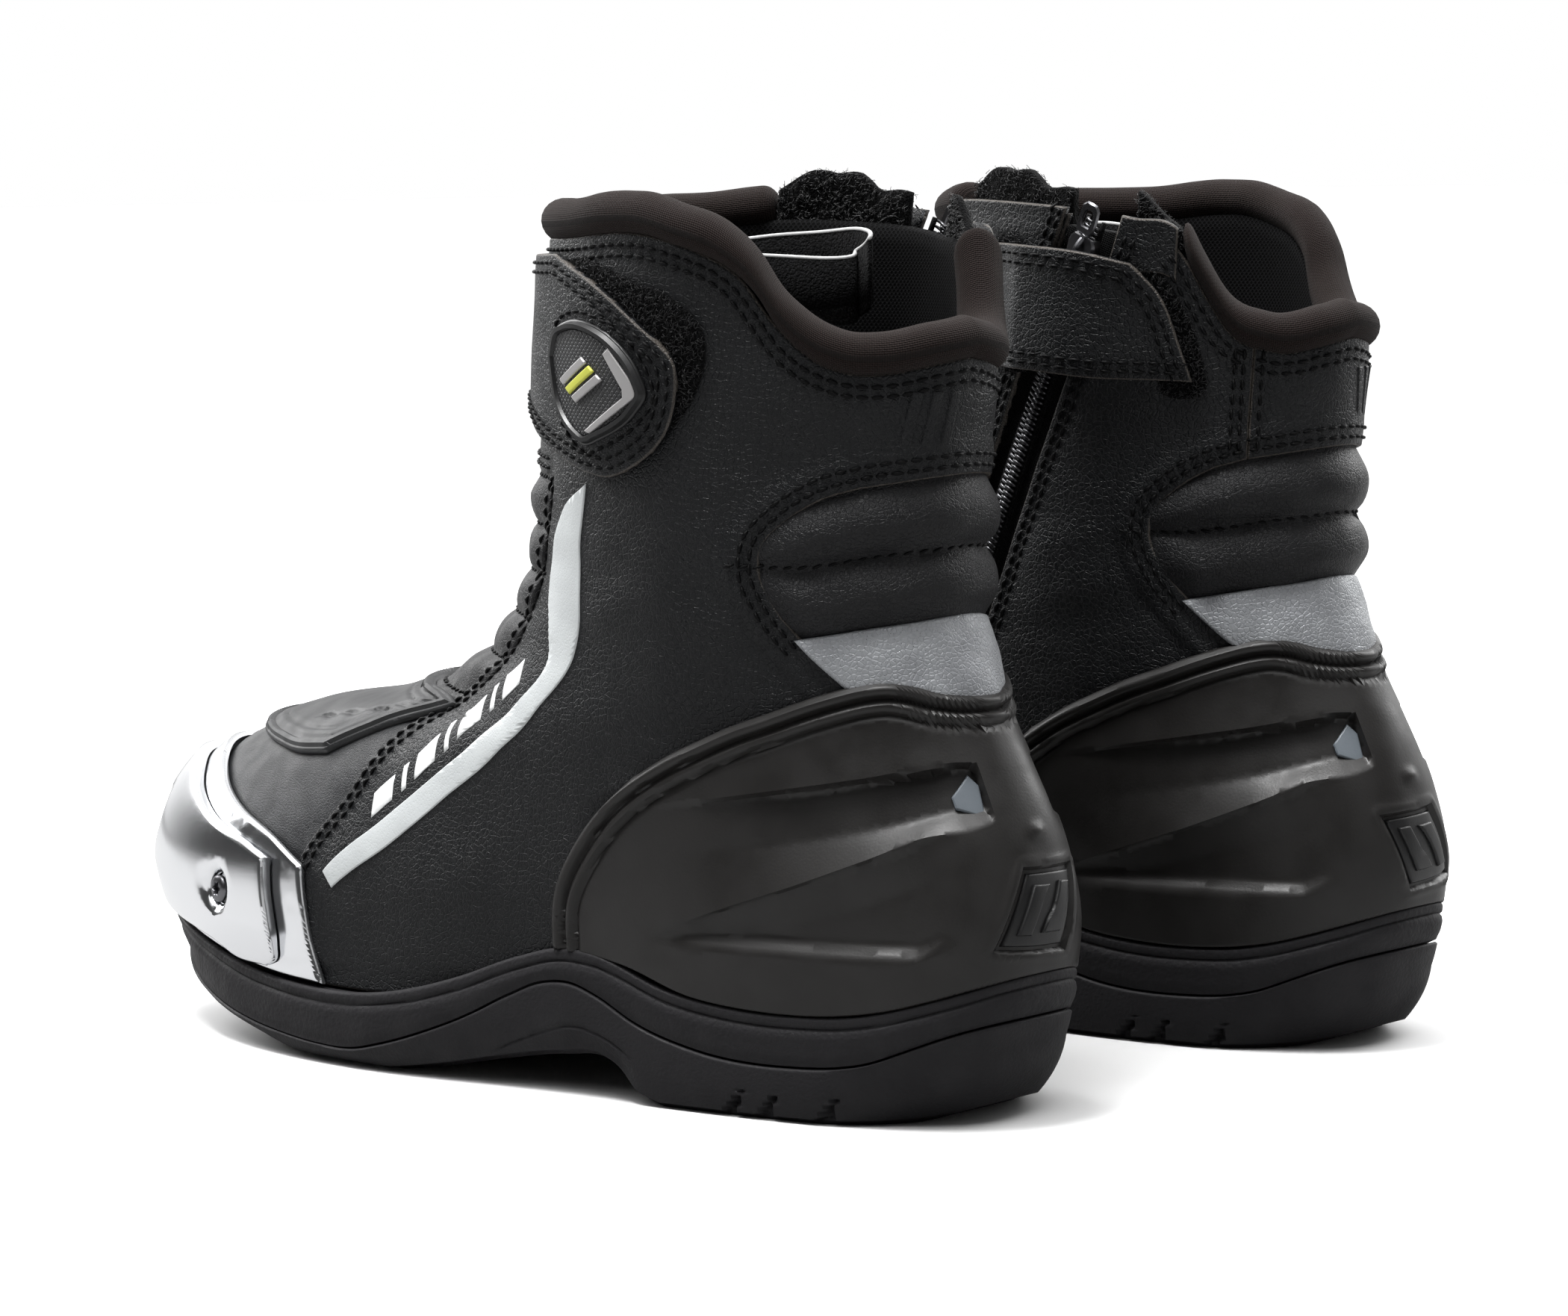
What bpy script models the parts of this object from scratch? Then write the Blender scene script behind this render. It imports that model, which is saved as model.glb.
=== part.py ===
"""A pair of short motorcycle riding boots, each built up in the layers of a real boot.

One boot is drawn in its own frame, in millimetres: the toe points to -Y, the outer (lateral) side
is +X and the ground is Z = 0. The left boot uses that frame as it is and the right boot mirrors it.

The foot and shaft share one skin, surface(angle, v). The angle runs round the boot, 0 at the
toe or shin and 180 degrees at the heel, positive on the outer side. v runs from the sole, 0, up to
the rim, 1. Every layer is a patch of that skin between two distances from it.
"""
from math import cos, degrees, pi, radians, sin

import bpy
import numpy as np
from mathutils import Vector
from mathutils.geometry import delaunay_2d_cdt

# ---- driving dimensions, in millimetres ----
PITCH = 138.0           # left boot centre to right boot centre, across
STAGGER = 16.0          # how far the right boot stands behind the left
CENTRE_Y = 2.97         # moves the pair so that its box is centred on the origin
GAP = 0.3               # clearance between neighbouring pieces
LEATHER = (0.0, 1.9)    # every pair is (inner, outer) distance from the skin
STIFFENER = (-3.3, -1.8)
LINING = (-6.7, -4.3)
OVERLAY = (2.4, 3.1)
HEEL_CUP = (3.1, 6.2)
HEEL_BADGE = (6.7, 8.3)
SLIDER_BASE = (3.0, 4.8)
SLIDER_PLATE = (5.8, 8.8)
STRAP = (3.6, 5.6)
STRAP_BADGE = (6.0, 8.0)
FLAP_THICKNESS = 1.9
EDGE_STEP = 12.0        # spacing of points along the edge of a patch
SOLE_FLARE = 5.6        # how far the sole wall stands out from the skin
SEAM_DROP = 6.5         # leather edge below the middle of the collar roll
ZIP_TOP = (80.0, 221.0)     # y and z of the two ends of the zip, on the inner side
ZIP_END = (30.0, 112.0)
ZIP_SLOT = 7.5          # half width of the opening that the zip closes
SCREW_ANGLES = (51.5, 20.5)
SCREW_HEIGHTS = (42.6, 55.5)
SCREW_HEAD = 3.7
SCREW_SHANK = 1.9

# ---- the skin: v, front (y, z), back (y, z) ----
PROFILE = (
    (0.00, (-139, 21), (140, 19)),
    (0.08, (-150, 37), (144, 34)),
    (0.16, (-150, 57), (146, 50)),
    (0.25, (-135, 75), (143, 67)),
    (0.36, (-103, 87), (136, 85)),
    (0.47, (-64, 94), (128, 102)),
    (0.57, (-31, 108), (123, 119)),
    (0.67, (-12, 131), (122, 137)),
    (0.77, (-6, 160), (123, 160)),
    (0.88, (-1, 195), (127, 195)),
    (1.00, (4, 235), (131, 235)),
)
# v, roundness of the ends, half widths from front to back on the outer and on the inner side
WIDTHS = (
    (0.00, 2.8, (50, 52, 50, 42, 39, 39), (47, 50, 43, 36, 37, 38)),
    (0.16, 2.7, (46, 50, 49, 43, 41, 40), (44, 48, 42, 37, 39, 39)),
    (0.25, 2.5, (36, 43, 46, 43, 41, 39), (36, 42, 41, 39, 40, 38)),
    (0.36, 2.2, (29, 38, 44, 43, 40, 36), (29, 37, 41, 41, 39, 35)),
    (0.57, 2.1, (34, 40, 43, 43, 38, 33), (34, 40, 42, 42, 39, 33)),
    (0.77, 2.1, (40, 43, 45, 44, 39, 34), (40, 43, 44, 44, 40, 34)),
    (1.00, 2.2, (44, 46, 48, 47, 43, 38), (44, 46, 47, 48, 44, 38)),
)
LEVELS = np.array([row[0] for row in PROFILE])
FRONT = np.array([row[1] for row in PROFILE], float)
BACK = np.array([row[2] for row in PROFILE], float)
WIDTH_LEVELS = np.array([row[0] for row in WIDTHS])
ROUNDNESS = np.array([row[1] for row in WIDTHS])
OUTER_WIDTHS = np.array([row[2] for row in WIDTHS], float)
INNER_WIDTHS = np.array([row[3] for row in WIDTHS], float)
V_TABLE = np.linspace(0, 1, 401)

# ---- sole heights against y, from toe to heel ----
SOLE_TOP = ((-160, 36), (-148, 33), (-138, 31), (-125, 28.5), (-113, 26), (-100, 23.4), (-80, 21),
            (-31, 22.2), (-6, 28.2), (13, 34.6), (28, 38.2), (38, 37.8), (62, 30.2), (80, 27.6),
            (98, 27), (118, 28.6), (136, 34.5), (146, 39.5), (156, 41))
SEAT = ((-160, 26), (-138, 23), (-113, 21.2), (-80, 20.2), (-31, 20.2), (10, 22.5), (40, 24), (156, 25))
GROOVE = ((-160, 31.5), (-148, 27), (-138, 21), (-127, 16), (-115, 12.6), (-104, 10.2), (-90, 8),
          (-75, 6.4), (-60, 5.4), (-45, 5.6), (-36, 7.6), (-12, 15.4), (9, 24.3), (22, 28.8), (31, 29.2),
          (39, 26.6), (50, 21), (68, 16), (97, 13.8), (118, 15.8), (145, 27.5), (156, 30))
GROUND = ((-160, 29), (-150, 24.5), (-138, 16.5), (-127, 11.5), (-115, 8), (-104, 5.6), (-90, 3.2),
          (-80, 1.3), (-72, 0), (-35, 0), (-20, 2.2), (5, 7), (25, 10), (38, 10.5), (44, 8), (51, 2.4),
          (58, 0), (132, 0), (146, 2.5), (156, 6))

# ---- edges against the angle, in degrees ----
RIM_OUTER = ((0, 222.5), (35, 223), (62, 223.5), (80, 224.7), (88, 224.5), (97, 222), (109, 217),
             (117, 209.5), (122, 201.5), (129, 194.7), (138, 190.5), (148, 189.8), (164, 191.8), (180, 193.5))
RIM_INNER = ((0, 222.5), (35, 224), (57, 225.5), (80, 224.7), (98, 223), (112, 220.5), (124, 216.5),
             (130, 206), (137, 195.5), (148, 190.5), (168, 191.8), (180, 193.5))
CUP_TOP = ((108, 84), (114, 92.5), (127, 101.8), (141.5, 107.8), (150, 109.2), (157, 108.3),
           (166, 105.6), (173, 104.4), (180, 104))

COLOURS = {
    "leather": ((0.013, 0.014, 0.016), 0.42, 0.0),
    "vamp_leather": ((0.05, 0.053, 0.056), 0.4, 0.0),
    "rubber": ((0.03, 0.029, 0.031), 0.6, 0.0),
    "cup_plastic": ((0.034, 0.032, 0.032), 0.5, 0.0),
    "chrome": ((0.8, 0.81, 0.83), 0.12, 1.0),
    "steel": ((0.25, 0.25, 0.26), 0.3, 1.0),
    "silver_cloth": ((0.55, 0.6, 0.6), 0.35, 0.3),
    "knit": ((0.028, 0.02, 0.018), 0.85, 0.0),
    "mesh": ((0.012, 0.012, 0.013), 0.9, 0.0),
    "board": ((0.35, 0.25, 0.16), 0.8, 0.0),
    "foam": ((0.08, 0.08, 0.085), 0.85, 0.0),
    "plastic": ((0.02, 0.02, 0.021), 0.4, 0.0),
}


# ---- curves and the skin ----
def spline(keys, values, x):
    """Smooth curve through values at keys, read at x; columns are read side by side."""
    keys = np.asarray(keys, float)
    values = np.asarray(values, float)
    x = np.clip(np.asarray(x, float), keys[0], keys[-1])
    column = (-1,) + (1,) * (values.ndim - 1)
    step = np.diff(keys)
    slope = np.diff(values, axis=0) / step.reshape(column)
    tangent = np.empty_like(values)
    tangent[0] = slope[0]
    tangent[-1] = slope[-1]
    ahead = step[1:].reshape(column)
    behind = step[:-1].reshape(column)
    tangent[1:-1] = (slope[:-1] * ahead + slope[1:] * behind) / (ahead + behind)
    i = np.clip(np.searchsorted(keys, x, side="right") - 1, 0, len(keys) - 2)
    wide = step[i].reshape(x.shape + (1,) * (values.ndim - 1))
    s = ((x - keys[i]) / step[i]).reshape(wide.shape)
    return ((1 + 2 * s) * (1 - s) ** 2 * values[i] + s * (1 - s) ** 2 * wide * tangent[i]
            + s * s * (3 - 2 * s) * values[i + 1] + s * s * (s - 1) * wide * tangent[i + 1])


def along(table, x):
    """Read a (key, value) table as a smooth curve."""
    return spline([row[0] for row in table], [row[1] for row in table], x)


def half_width(rows, v, share):
    """Half width at level v, share of the way from front to back."""
    across = spline(WIDTH_LEVELS, rows, v)
    spots = share * (rows.shape[1] - 1)
    i = np.clip(spots.astype(int), 0, rows.shape[1] - 2)
    s = spots - i
    ahead = 2 * across[:, :1] - across[:, 1:2]
    beyond = 2 * across[:, -1:] - across[:, -2:-1]
    padded = np.concatenate([ahead, across, beyond], 1)
    pick = np.arange(len(i))
    a, b, c, d = (padded[pick, i + k] for k in range(4))
    return b + 0.5 * s * (c - a + s * (2 * a - 5 * b + 4 * c - d + s * (3 * (b - c) + d - a)))


def skin(angle, v):
    """Points of the skin for angles in radians and levels v."""
    angle, v = np.broadcast_arrays(np.asarray(angle, float), np.asarray(v, float))
    shape = angle.shape
    angle = (angle.ravel() + pi) % (2 * pi) - pi
    v = v.ravel()
    share = (1 - np.cos(angle)) / 2
    front = spline(LEVELS, FRONT, v)
    yz = front + (spline(LEVELS, BACK, v) - front) * share[:, None]
    power = spline(WIDTH_LEVELS, ROUNDNESS, v)
    reach = np.clip(1 - np.abs(np.cos(angle)) ** power, 0, 1) ** (1 / power)
    outer = half_width(OUTER_WIDTHS, v, share)
    inner = half_width(INNER_WIDTHS, v, share)
    x = np.where(angle >= 0, outer, -inner) * reach
    return np.stack([x, yz[:, 0], yz[:, 1]], -1).reshape(shape + (3,))


def slopes(angle, v):
    """How the skin moves for each radian of angle and each unit of v."""
    small = 2e-3
    low = np.clip(v - small, 0, 1)
    high = np.clip(v + small, 0, 1)
    turn = (skin(angle + small, v) - skin(angle - small, v)) / (2 * small)
    rise = (skin(angle, high) - skin(angle, low)) / (high - low)[..., None]
    return turn, rise


def normal(angle, v):
    """Outward unit normals of the skin."""
    turn, rise = slopes(np.asarray(angle, float), np.asarray(v, float))
    out = np.cross(turn, rise)
    return out / np.linalg.norm(out, axis=-1, keepdims=True)


def surface(angle, v, distance=0.0):
    """The skin moved outward by a distance."""
    distance = np.broadcast_to(np.asarray(distance, float), np.shape(v))
    return skin(angle, v) + normal(angle, v) * distance[..., None]


def level(angle, height):
    """The v at which the skin has this height, for an angle in radians."""
    share = (1 - cos(angle)) / 2
    front = spline(LEVELS, FRONT, V_TABLE)[:, 1]
    back = spline(LEVELS, BACK, V_TABLE)[:, 1]
    return float(np.interp(height, front + (back - front) * share, V_TABLE))


def at_side(y, z, side):
    """Angle in degrees and height of the skin point seen at (y, z) from one side."""
    front = spline(LEVELS, FRONT, V_TABLE)
    back = spline(LEVELS, BACK, V_TABLE)
    run = back - front
    cross = run[:, 0] * (z - front[:, 1]) - run[:, 1] * (y - front[:, 0])
    i = int(np.argmax(cross <= 0)) if (cross <= 0).any() else len(cross) - 1
    share = ((y - front[i, 0]) * run[i, 0] + (z - front[i, 1]) * run[i, 1]) / (run[i] ** 2).sum()
    return side * degrees(np.arccos(np.clip(1 - 2 * share, -1, 1))), z


def side_of(angle_deg):
    """Angle in degrees brought to -180..180."""
    return (angle_deg + 180) % 360 - 180


def rim(angle_deg, drop=0.0):
    """Height of the rim, less a drop."""
    turned = side_of(angle_deg)
    table = RIM_OUTER if turned >= 0 else RIM_INNER
    return float(along(table, abs(turned))) - drop


def cup_top(angle_deg, drop=0.0):
    """Height of the heel cup's upper edge, less a drop."""
    return float(along(CUP_TOP, abs(side_of(angle_deg)))) - drop


def sole_top(y):
    return float(along(SOLE_TOP, y))


def seat(y):
    return float(along(SEAT, y))


def groove(y):
    return float(along(GROOVE, y))


def ground(y):
    return max(0.0, float(along(GROUND, y)))


def sole_joint(y):
    """Height at which the midsole rests on the outsole, inside their walls."""
    return min(groove(y), seat(y) - 4.0)


def above(rule, angle_deg, rise):
    """Height of a sole line at this angle, plus a rise."""
    return rule(skin(radians(angle_deg), 0.06)[1]) + rise


def edge(rule, start, stop, amount, count=12):
    """Points (angle, height) along a rule of the angle."""
    return [(a, rule(a, amount)) for a in np.linspace(start, stop, count)]


def seat_edge(angle_deg, rise):
    return above(seat, angle_deg, rise + 2.4 * max(0.0, cos(radians(angle_deg))) ** 4)


def top_edge(angle_deg, rise):
    return above(sole_top, angle_deg, rise + 3.2 * max(0.0, cos(radians(angle_deg))) ** 3)


def mirrored(points):
    """The same points on the inner side, in the other order."""
    return [(-a, z) for a, z in reversed(points)]


# ---- patches ----
def smooth_run(points, spacing):
    """A run of (angle, height) points as (radians, v) points about one spacing apart."""
    flat = np.array([(radians(a), level(radians(a), z)) for a, z in points])
    keys = np.concatenate([[0], np.cumsum(np.hypot(*(np.diff(flat, axis=0) * (1, 4)).T))])
    dense = spline(keys, flat, np.linspace(0, keys[-1], 30 * len(flat)))
    walk = np.linalg.norm(np.diff(skin(dense[:, 0], dense[:, 1]), axis=0), axis=1)
    walk = np.concatenate([[0], np.cumsum(walk)])
    steps = max(1, round(walk[-1] / spacing))
    at = np.linspace(0, walk[-1], steps + 1)
    return np.stack([np.interp(at, walk, dense[:, k]) for k in (0, 1)], 1)


def closed_loop(runs, spacing):
    """Runs that meet end to end, as one closed loop of (radians, v) points, anticlockwise."""
    loop = np.concatenate([smooth_run(run, spacing)[:-1] for run in runs])
    after = np.roll(loop, -1, axis=0)
    area = (loop[:, 0] * after[:, 1] - after[:, 0] * loop[:, 1]).sum()
    return loop if area > 0 else loop[::-1]


def inset(loop, amount):
    """Move a closed loop inward along the skin by an amount in millimetres."""
    points = skin(loop[:, 0], loop[:, 1])
    turn, rise = slopes(loop[:, 0], loop[:, 1])
    out = normal(loop[:, 0], loop[:, 1])
    run = np.roll(points, -1, axis=0) - points
    run /= np.linalg.norm(run, axis=1, keepdims=True)
    left_now = np.cross(out, run)
    left_before = np.cross(out, np.roll(run, 1, axis=0))
    way = left_now + left_before
    way /= np.maximum((way * left_now).sum(1), 0.35)[:, None]
    moved = []
    for i, step in enumerate(way * amount):
        basis = np.stack([turn[i], rise[i]], 1)
        moved.append(loop[i] + np.linalg.lstsq(basis, step, rcond=None)[0])
    return np.array(moved)


def inside(points, loop):
    """Which points lie inside a closed loop."""
    x, y = points[:, 0][:, None], points[:, 1][:, None]
    x0, y0 = loop[:, 0][None], loop[:, 1][None]
    x1, y1 = np.roll(loop, -1, axis=0).T
    crosses = ((y0 > y) != (y1[None] > y))
    rise = np.where(y1[None] == y0, 1e-12, y1[None] - y0)
    return (crosses & (x < (x1[None] - x0) * (y - y0) / rise + x0)).sum(1) % 2 == 1


def distance_to(points, loop):
    """Distance of each point from a closed loop."""
    start = loop[None]
    run = np.roll(loop, -1, axis=0)[None] - start
    reach = points[:, None] - start
    share = np.clip((reach * run).sum(2) / np.maximum((run ** 2).sum(2), 1e-12), 0, 1)
    return np.linalg.norm(reach - share[..., None] * run, axis=2).min(1)


def patch(runs, inner, outer, spacing=11.0, gap=GAP, holes=(), lines=(), pockets=()):
    """A closed piece between two distances from the skin, bounded by runs of (angle, height).

    inner and outer are distances or functions of (angle, v). Holes are loops of (radians, v).
    Lines are runs that the mesh follows. Pockets are (runs, depth) sunk into the outer face.
    """
    loop = inset(closed_loop(runs, min(spacing, EDGE_STEP)), gap)
    turn, rise = slopes(loop[:, 0], loop[:, 1])
    scale = np.array([np.linalg.norm(turn, axis=1).mean(), np.linalg.norm(rise, axis=1).mean()])
    sunk = []
    rings = [loop, *holes]
    for pocket_runs, depth in pockets:
        ring = closed_loop(pocket_runs, spacing * 0.7)
        floor = inset(ring, 0.9)
        rings += [ring, floor]
        sunk.append((floor, depth))
    verts = []
    edges = []
    for ring in rings:
        first = len(verts)
        verts += list(ring * scale)
        edges += [(first + i, first + (i + 1) % len(ring)) for i in range(len(ring))]
    for run in lines:
        first = len(verts)
        path = smooth_run(run, EDGE_STEP) * scale
        path = path[inside(path, loop * scale) & (distance_to(path, loop * scale) > spacing * 0.3)]
        verts += list(path)
        edges += [(first + i, first + i + 1) for i in range(len(path) - 1)]
    low = loop.min(0) * scale
    high = loop.max(0) * scale
    rows = np.arange(low[1], high[1], spacing * 0.87)
    grid = np.array([(x + (k % 2) * spacing / 2, y) for k, y in enumerate(rows)
                     for x in np.arange(low[0], high[0], spacing)])
    keep = inside(grid, loop * scale)
    for ring in rings:
        keep &= distance_to(grid, ring * scale) > spacing * 0.55
    for hole in holes:
        keep &= ~inside(grid, hole * scale)
    if lines:
        drawn = np.array(verts[sum(len(ring) for ring in rings):])
        keep &= (np.linalg.norm(grid[:, None] - drawn[None], axis=2).min(1) > spacing * 0.6)
    verts += list(grid[keep])
    found = delaunay_2d_cdt([Vector(p) for p in verts], edges, [], 0, 1e-5)
    flat = np.array([tuple(p) for p in found[0]])
    centres = np.array([flat[list(face)].mean(0) for face in found[2]])
    wanted = inside(centres, loop * scale)
    for hole in holes:
        wanted &= ~inside(centres, hole * scale)
    faces = [list(face) for face, want in zip(found[2], wanted) if want]
    used = sorted({i for face in faces for i in face})
    renumber = {old: new for new, old in enumerate(used)}
    faces = [[renumber[i] for i in face] for face in faces]
    angle, v = (flat[used] / scale).T
    out = outer(angle, v) if callable(outer) else np.full(len(angle), float(outer))
    deep = inner(angle, v) if callable(inner) else np.full(len(angle), float(inner))
    for floor, depth in sunk:
        grown = inset(floor, -0.25)
        out = out - np.where(inside(np.stack([angle, v], 1), grown), depth, 0.0)
    return close(surface(angle, v, out), surface(angle, v, deep), faces)


def close(outside, inner_side, faces):
    """Join an outer and an inner sheet of the same faces into one closed body."""
    count = len(outside)
    directed = {(face[i], face[(i + 1) % len(face)]) for face in faces for i in range(len(face))}
    solid = list(faces) + [[i + count for i in reversed(face)] for face in faces]
    solid += [[b, a, a + count, b + count] for a, b in directed if (b, a) not in directed]
    return np.concatenate([outside, inner_side]), solid


# ---- shells that go right round the boot ----
TURNS = np.radians([0, 5, 13, 23, 35, 48, 62, 74, 90, 106, 122, 134, 145, 156, 167, 175])
TURNS = np.concatenate([TURNS, [pi], -TURNS[:0:-1]])


def level_ring(rule, rise, distance):
    """A ring round the boot at the heights of a sole line, moved out from the skin."""
    rings = []
    for turn in TURNS:
        spot = skin(turn, 0.06)
        height = rule(spot[1]) + rise
        v = level(turn, height)
        out = normal(turn, v)
        flat = np.array([out[0], out[1], 0.0]) / np.hypot(out[0], out[1])
        reach = distance(spot[1]) if callable(distance) else distance
        point = skin(turn, v) + flat * reach
        point[2] = height
        rings.append(point)
    return np.array(rings)


def stacked(rings):
    """One closed body through rings of equal length, its first and last ring filled across."""
    size = len(rings[0])
    half = size // 2
    faces = []
    for k in range(len(rings) - 1):
        base = k * size
        for i in range(size):
            j = (i + 1) % size
            faces.append([base + i, base + j, base + size + j, base + size + i])
    last = (len(rings) - 1) * size
    for base, turned in ((0, True), (last, False)):
        cap = [[base, base + 1, base + size - 1]]
        cap += [[base + i, base + i + 1, base + size - i - 1, base + size - i] for i in range(1, half - 1)]
        cap += [[base + half - 1, base + half, base + half + 1]]
        faces += [face[::-1] for face in cap] if turned else cap
    return np.concatenate(rings), faces


# ---- small straight pieces ----
def prism(outline, start, stop, across, out):
    """Extrude an outline of (across, out) points from start to stop."""
    ring = [start + across * a + out * b for a, b in outline]
    size = len(ring)
    points = np.array(ring + [p + (stop - start) for p in ring])
    faces = [[i, (i + 1) % size, size + (i + 1) % size, size + i] for i in range(size)]
    faces += [list(range(size))[::-1], list(range(size, 2 * size))]
    way = np.cross(stop - start, out)
    return (points, faces) if np.dot(way, across) < 0 else (points, [face[::-1] for face in faces])


def turned(profile, foot, axis, count=16):
    """Spin a (radius, height) profile round an axis; the profile starts and ends on the axis."""
    axis = axis / np.linalg.norm(axis)
    first = np.cross(axis, (0, 0, 1.0))
    first /= np.linalg.norm(first)
    second = np.cross(axis, first)
    points = [foot + axis * profile[0][1]]
    for radius, height in profile[1:-1]:
        for k in range(count):
            a = 2 * pi * k / count
            points.append(foot + axis * height + (first * cos(a) + second * sin(a)) * radius)
    points.append(foot + axis * profile[-1][1])
    faces = [[0, 1 + (k + 1) % count, 1 + k] for k in range(count)]
    for row in range(len(profile) - 3):
        base = 1 + row * count
        for k in range(count):
            j = (k + 1) % count
            faces.append([base + k, base + j, base + count + j, base + count + k])
    base = 1 + (len(profile) - 3) * count
    faces += [[base + k, base + (k + 1) % count, len(points) - 1] for k in range(count)]
    return np.array(points), faces


def ring_round(angle_deg, height, radius, count=16):
    """A circle drawn on the skin as a hole loop."""
    centre = np.array([radians(angle_deg), level(radians(angle_deg), height)])
    turn, rise = slopes(centre[0], centre[1])
    first = turn / np.linalg.norm(turn)
    out = normal(centre[0], centre[1])
    second = np.cross(out, first)
    basis = np.stack([turn, rise], 1)
    loop = []
    for k in range(count):
        a = 2 * pi * k / count
        step = (first * cos(a) + second * sin(a)) * radius
        loop.append(centre + np.linalg.lstsq(basis, step, rcond=None)[0])
    return np.array(loop)


# ---- outlines shared by neighbouring pieces, (angle, height) from the sole upward ----
VAMP_SEAM = [(61, 21), (63, 38), (64.5, 53), (67, 70), (62, 86), (54, 97)]
SHIN_SEAM = [(54, 97), (51, 107), (49, 119), (48.5, 135), (50, 148), (52, 158)]
CUFF_LINE = [(52, 158), (25, 159), (0, 159), (-25, 159), (-52, 158)]
INSTEP_LINE = [(54, 97), (27, 98.5), (0, 99), (-27, 98.5), (-54, 97)]
WINDOW_FOOT = [(141, 103), (128.5, 116)]
HEEL_WINDOW = [(128.5, 116), (117, 129), (113.5, 139), (118, 147), (129, 153.5), (144, 157)]
WINDOW_TOP = [(144, 157), (160, 159), (180, 160), (200, 159), (216, 157)]
BACK_SEAM = 216.0
BAND_ENDS = (57.5, 122.5)    # angles on the inner side between which the leather reaches the rim
BAND_DROP = 0.8
FRONT_SEAM = -20.0
RIB_LINE = [(114, 137), (130, 136), (150, 138.5), (180, 141.5), (210, 138.5), (230, 136), (246, 137)]
SILVER_LINE = [(128.5, 116), (145, 119.5), (165, 122.5), (180, 123.5), (195, 122.5), (215, 119.5),
               (231.5, 116)]


def window_low(start, stop, drop):
    """Edge just under the heel cup's rim, between two angles."""
    return edge(cup_top, start, stop, drop, 9)


def sole_run(start, stop, rise=0.5, count=16):
    return edge(seat_edge, start, stop, rise, count)


def rib(low, high, heights):
    """Distance of a puffed face: bumps between the given lines of height."""
    def shape(angle, v):
        z = skin(angle, v)[:, 2]
        wave = np.abs(np.sin(np.interp(z, heights, np.arange(len(heights))) * pi))
        return low + (high - low) * wave ** 0.7
    return shape


# ---- the pieces of one boot ----
def outsole():
    def foot_inset(y):
        return float(np.interp(y, (-150, -110, -20, 50, 150), (-7, -3, -3, 3, 2)))

    def low_wall(y):
        return float(np.interp(y, (-150, -110, -20, 50, 150), (-1, 3, 3.5, 6, 5)))
    return stacked([level_ring(ground, 0.0, foot_inset), level_ring(ground, 3.2, low_wall),
                    level_ring(groove, 0.0, SOLE_FLARE + 0.6), level_ring(groove, 0.0, 4.6),
                    level_ring(sole_joint, 0.0, 3.9)])


def midsole():
    """Cupped midsole: a floor, and a wall that stands round the foot of the upper."""
    return stacked([level_ring(sole_joint, 0.5, 3.3), level_ring(groove, 0.5, 4.0),
                    level_ring(groove, 0.5, SOLE_FLARE + 0.2), level_ring(sole_top, -2.0, SOLE_FLARE),
                    level_ring(sole_top, 0.0, SOLE_FLARE - 1.2), level_ring(sole_top, 0.0, 3.2),
                    level_ring(seat, 0.0, 2.7)])


def shank():
    """Spring strip let in between the insole board and the midsole, over the arch."""
    stations = np.linspace(-28, 70, 9)
    rows = []
    for y in stations:
        z = seat(y)
        rows.append([(x, y, z + h) for x, h in ((-7, 0.3), (7, 0.3), (7, 1.7), (-7, 1.7))])
    points = np.array([p for row in rows for p in row])
    faces = [[4 * k + i, 4 * k + 4 + i, 4 * k + 4 + (i + 1) % 4, 4 * k + (i + 1) % 4]
             for k in range(len(rows) - 1) for i in range(4)]
    faces += [[0, 1, 2, 3], [4 * len(rows) - 1 - i for i in range(4)]]
    return points, faces


def insole_board():
    return stacked([level_ring(seat, 2.1, -2.2), level_ring(seat, 4.0, -2.2)])


def lining_rings(distance, floor_rise):
    """Rings from the floor of the lining up to its rim."""
    rings = [level_ring(seat, floor_rise, distance)]
    floors = [seat(skin(t, 0.06)[1]) + floor_rise for t in TURNS]
    for share in (0.07, 0.16, 0.25, 0.34, 0.44, 0.52, 0.59, 0.68, 0.82, 1.0):
        ring = []
        for turn, floor in zip(TURNS, floors):
            foot = level(turn, floor)
            head = level(turn, rim(degrees(turn), 7.0))
            ring.append(surface(turn, foot + (head - foot) * share, distance))
        rings.append(np.array(ring))
    return rings


def lining():
    outside = lining_rings(LINING[1], 4.4)
    within = lining_rings(LINING[0], 6.6)
    return stacked(outside + within[::-1])


def footbed():
    """Removable insole lying on the floor of the lining."""
    def edge_in(y):
        return LINING[0] - float(np.interp(y, (-125, -95), (5.0, 1.2)))
    return stacked([level_ring(seat, 7.1, edge_in), level_ring(seat, 10.2, edge_in)])


def toe_puff():
    top = [(58, 54), (40, 64), (20, 68), (0, 69), (-20, 68), (-40, 64), (-58, 54)]
    low = edge(seat_edge, -58, 58, 8.0, 12)
    return patch([[(58, seat_edge(58, 8.0)), (58, 54)], top, [(-58, 54), (-58, seat_edge(-58, 8.0))], low],
                 *STIFFENER, spacing=12)


def heel_counter():
    top = [(104, 62), (125, 74), (150, 79), (180, 80), (210, 79), (235, 74), (256, 62)]
    low = edge(seat_edge, 256, 104, 8.0, 12)
    return patch([[(104, seat_edge(104, 8.0)), (104, 62)], top, [(256, 62), (256, seat_edge(256, 8.0))], low],
                 *STIFFENER, spacing=16)


def vamp():
    low = sole_run(-61, 61)
    up = [(61, seat_edge(61, 0.5))] + VAMP_SEAM[1:]
    return patch([up, INSTEP_LINE, mirrored(up), low], *LEATHER, spacing=14)


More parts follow.
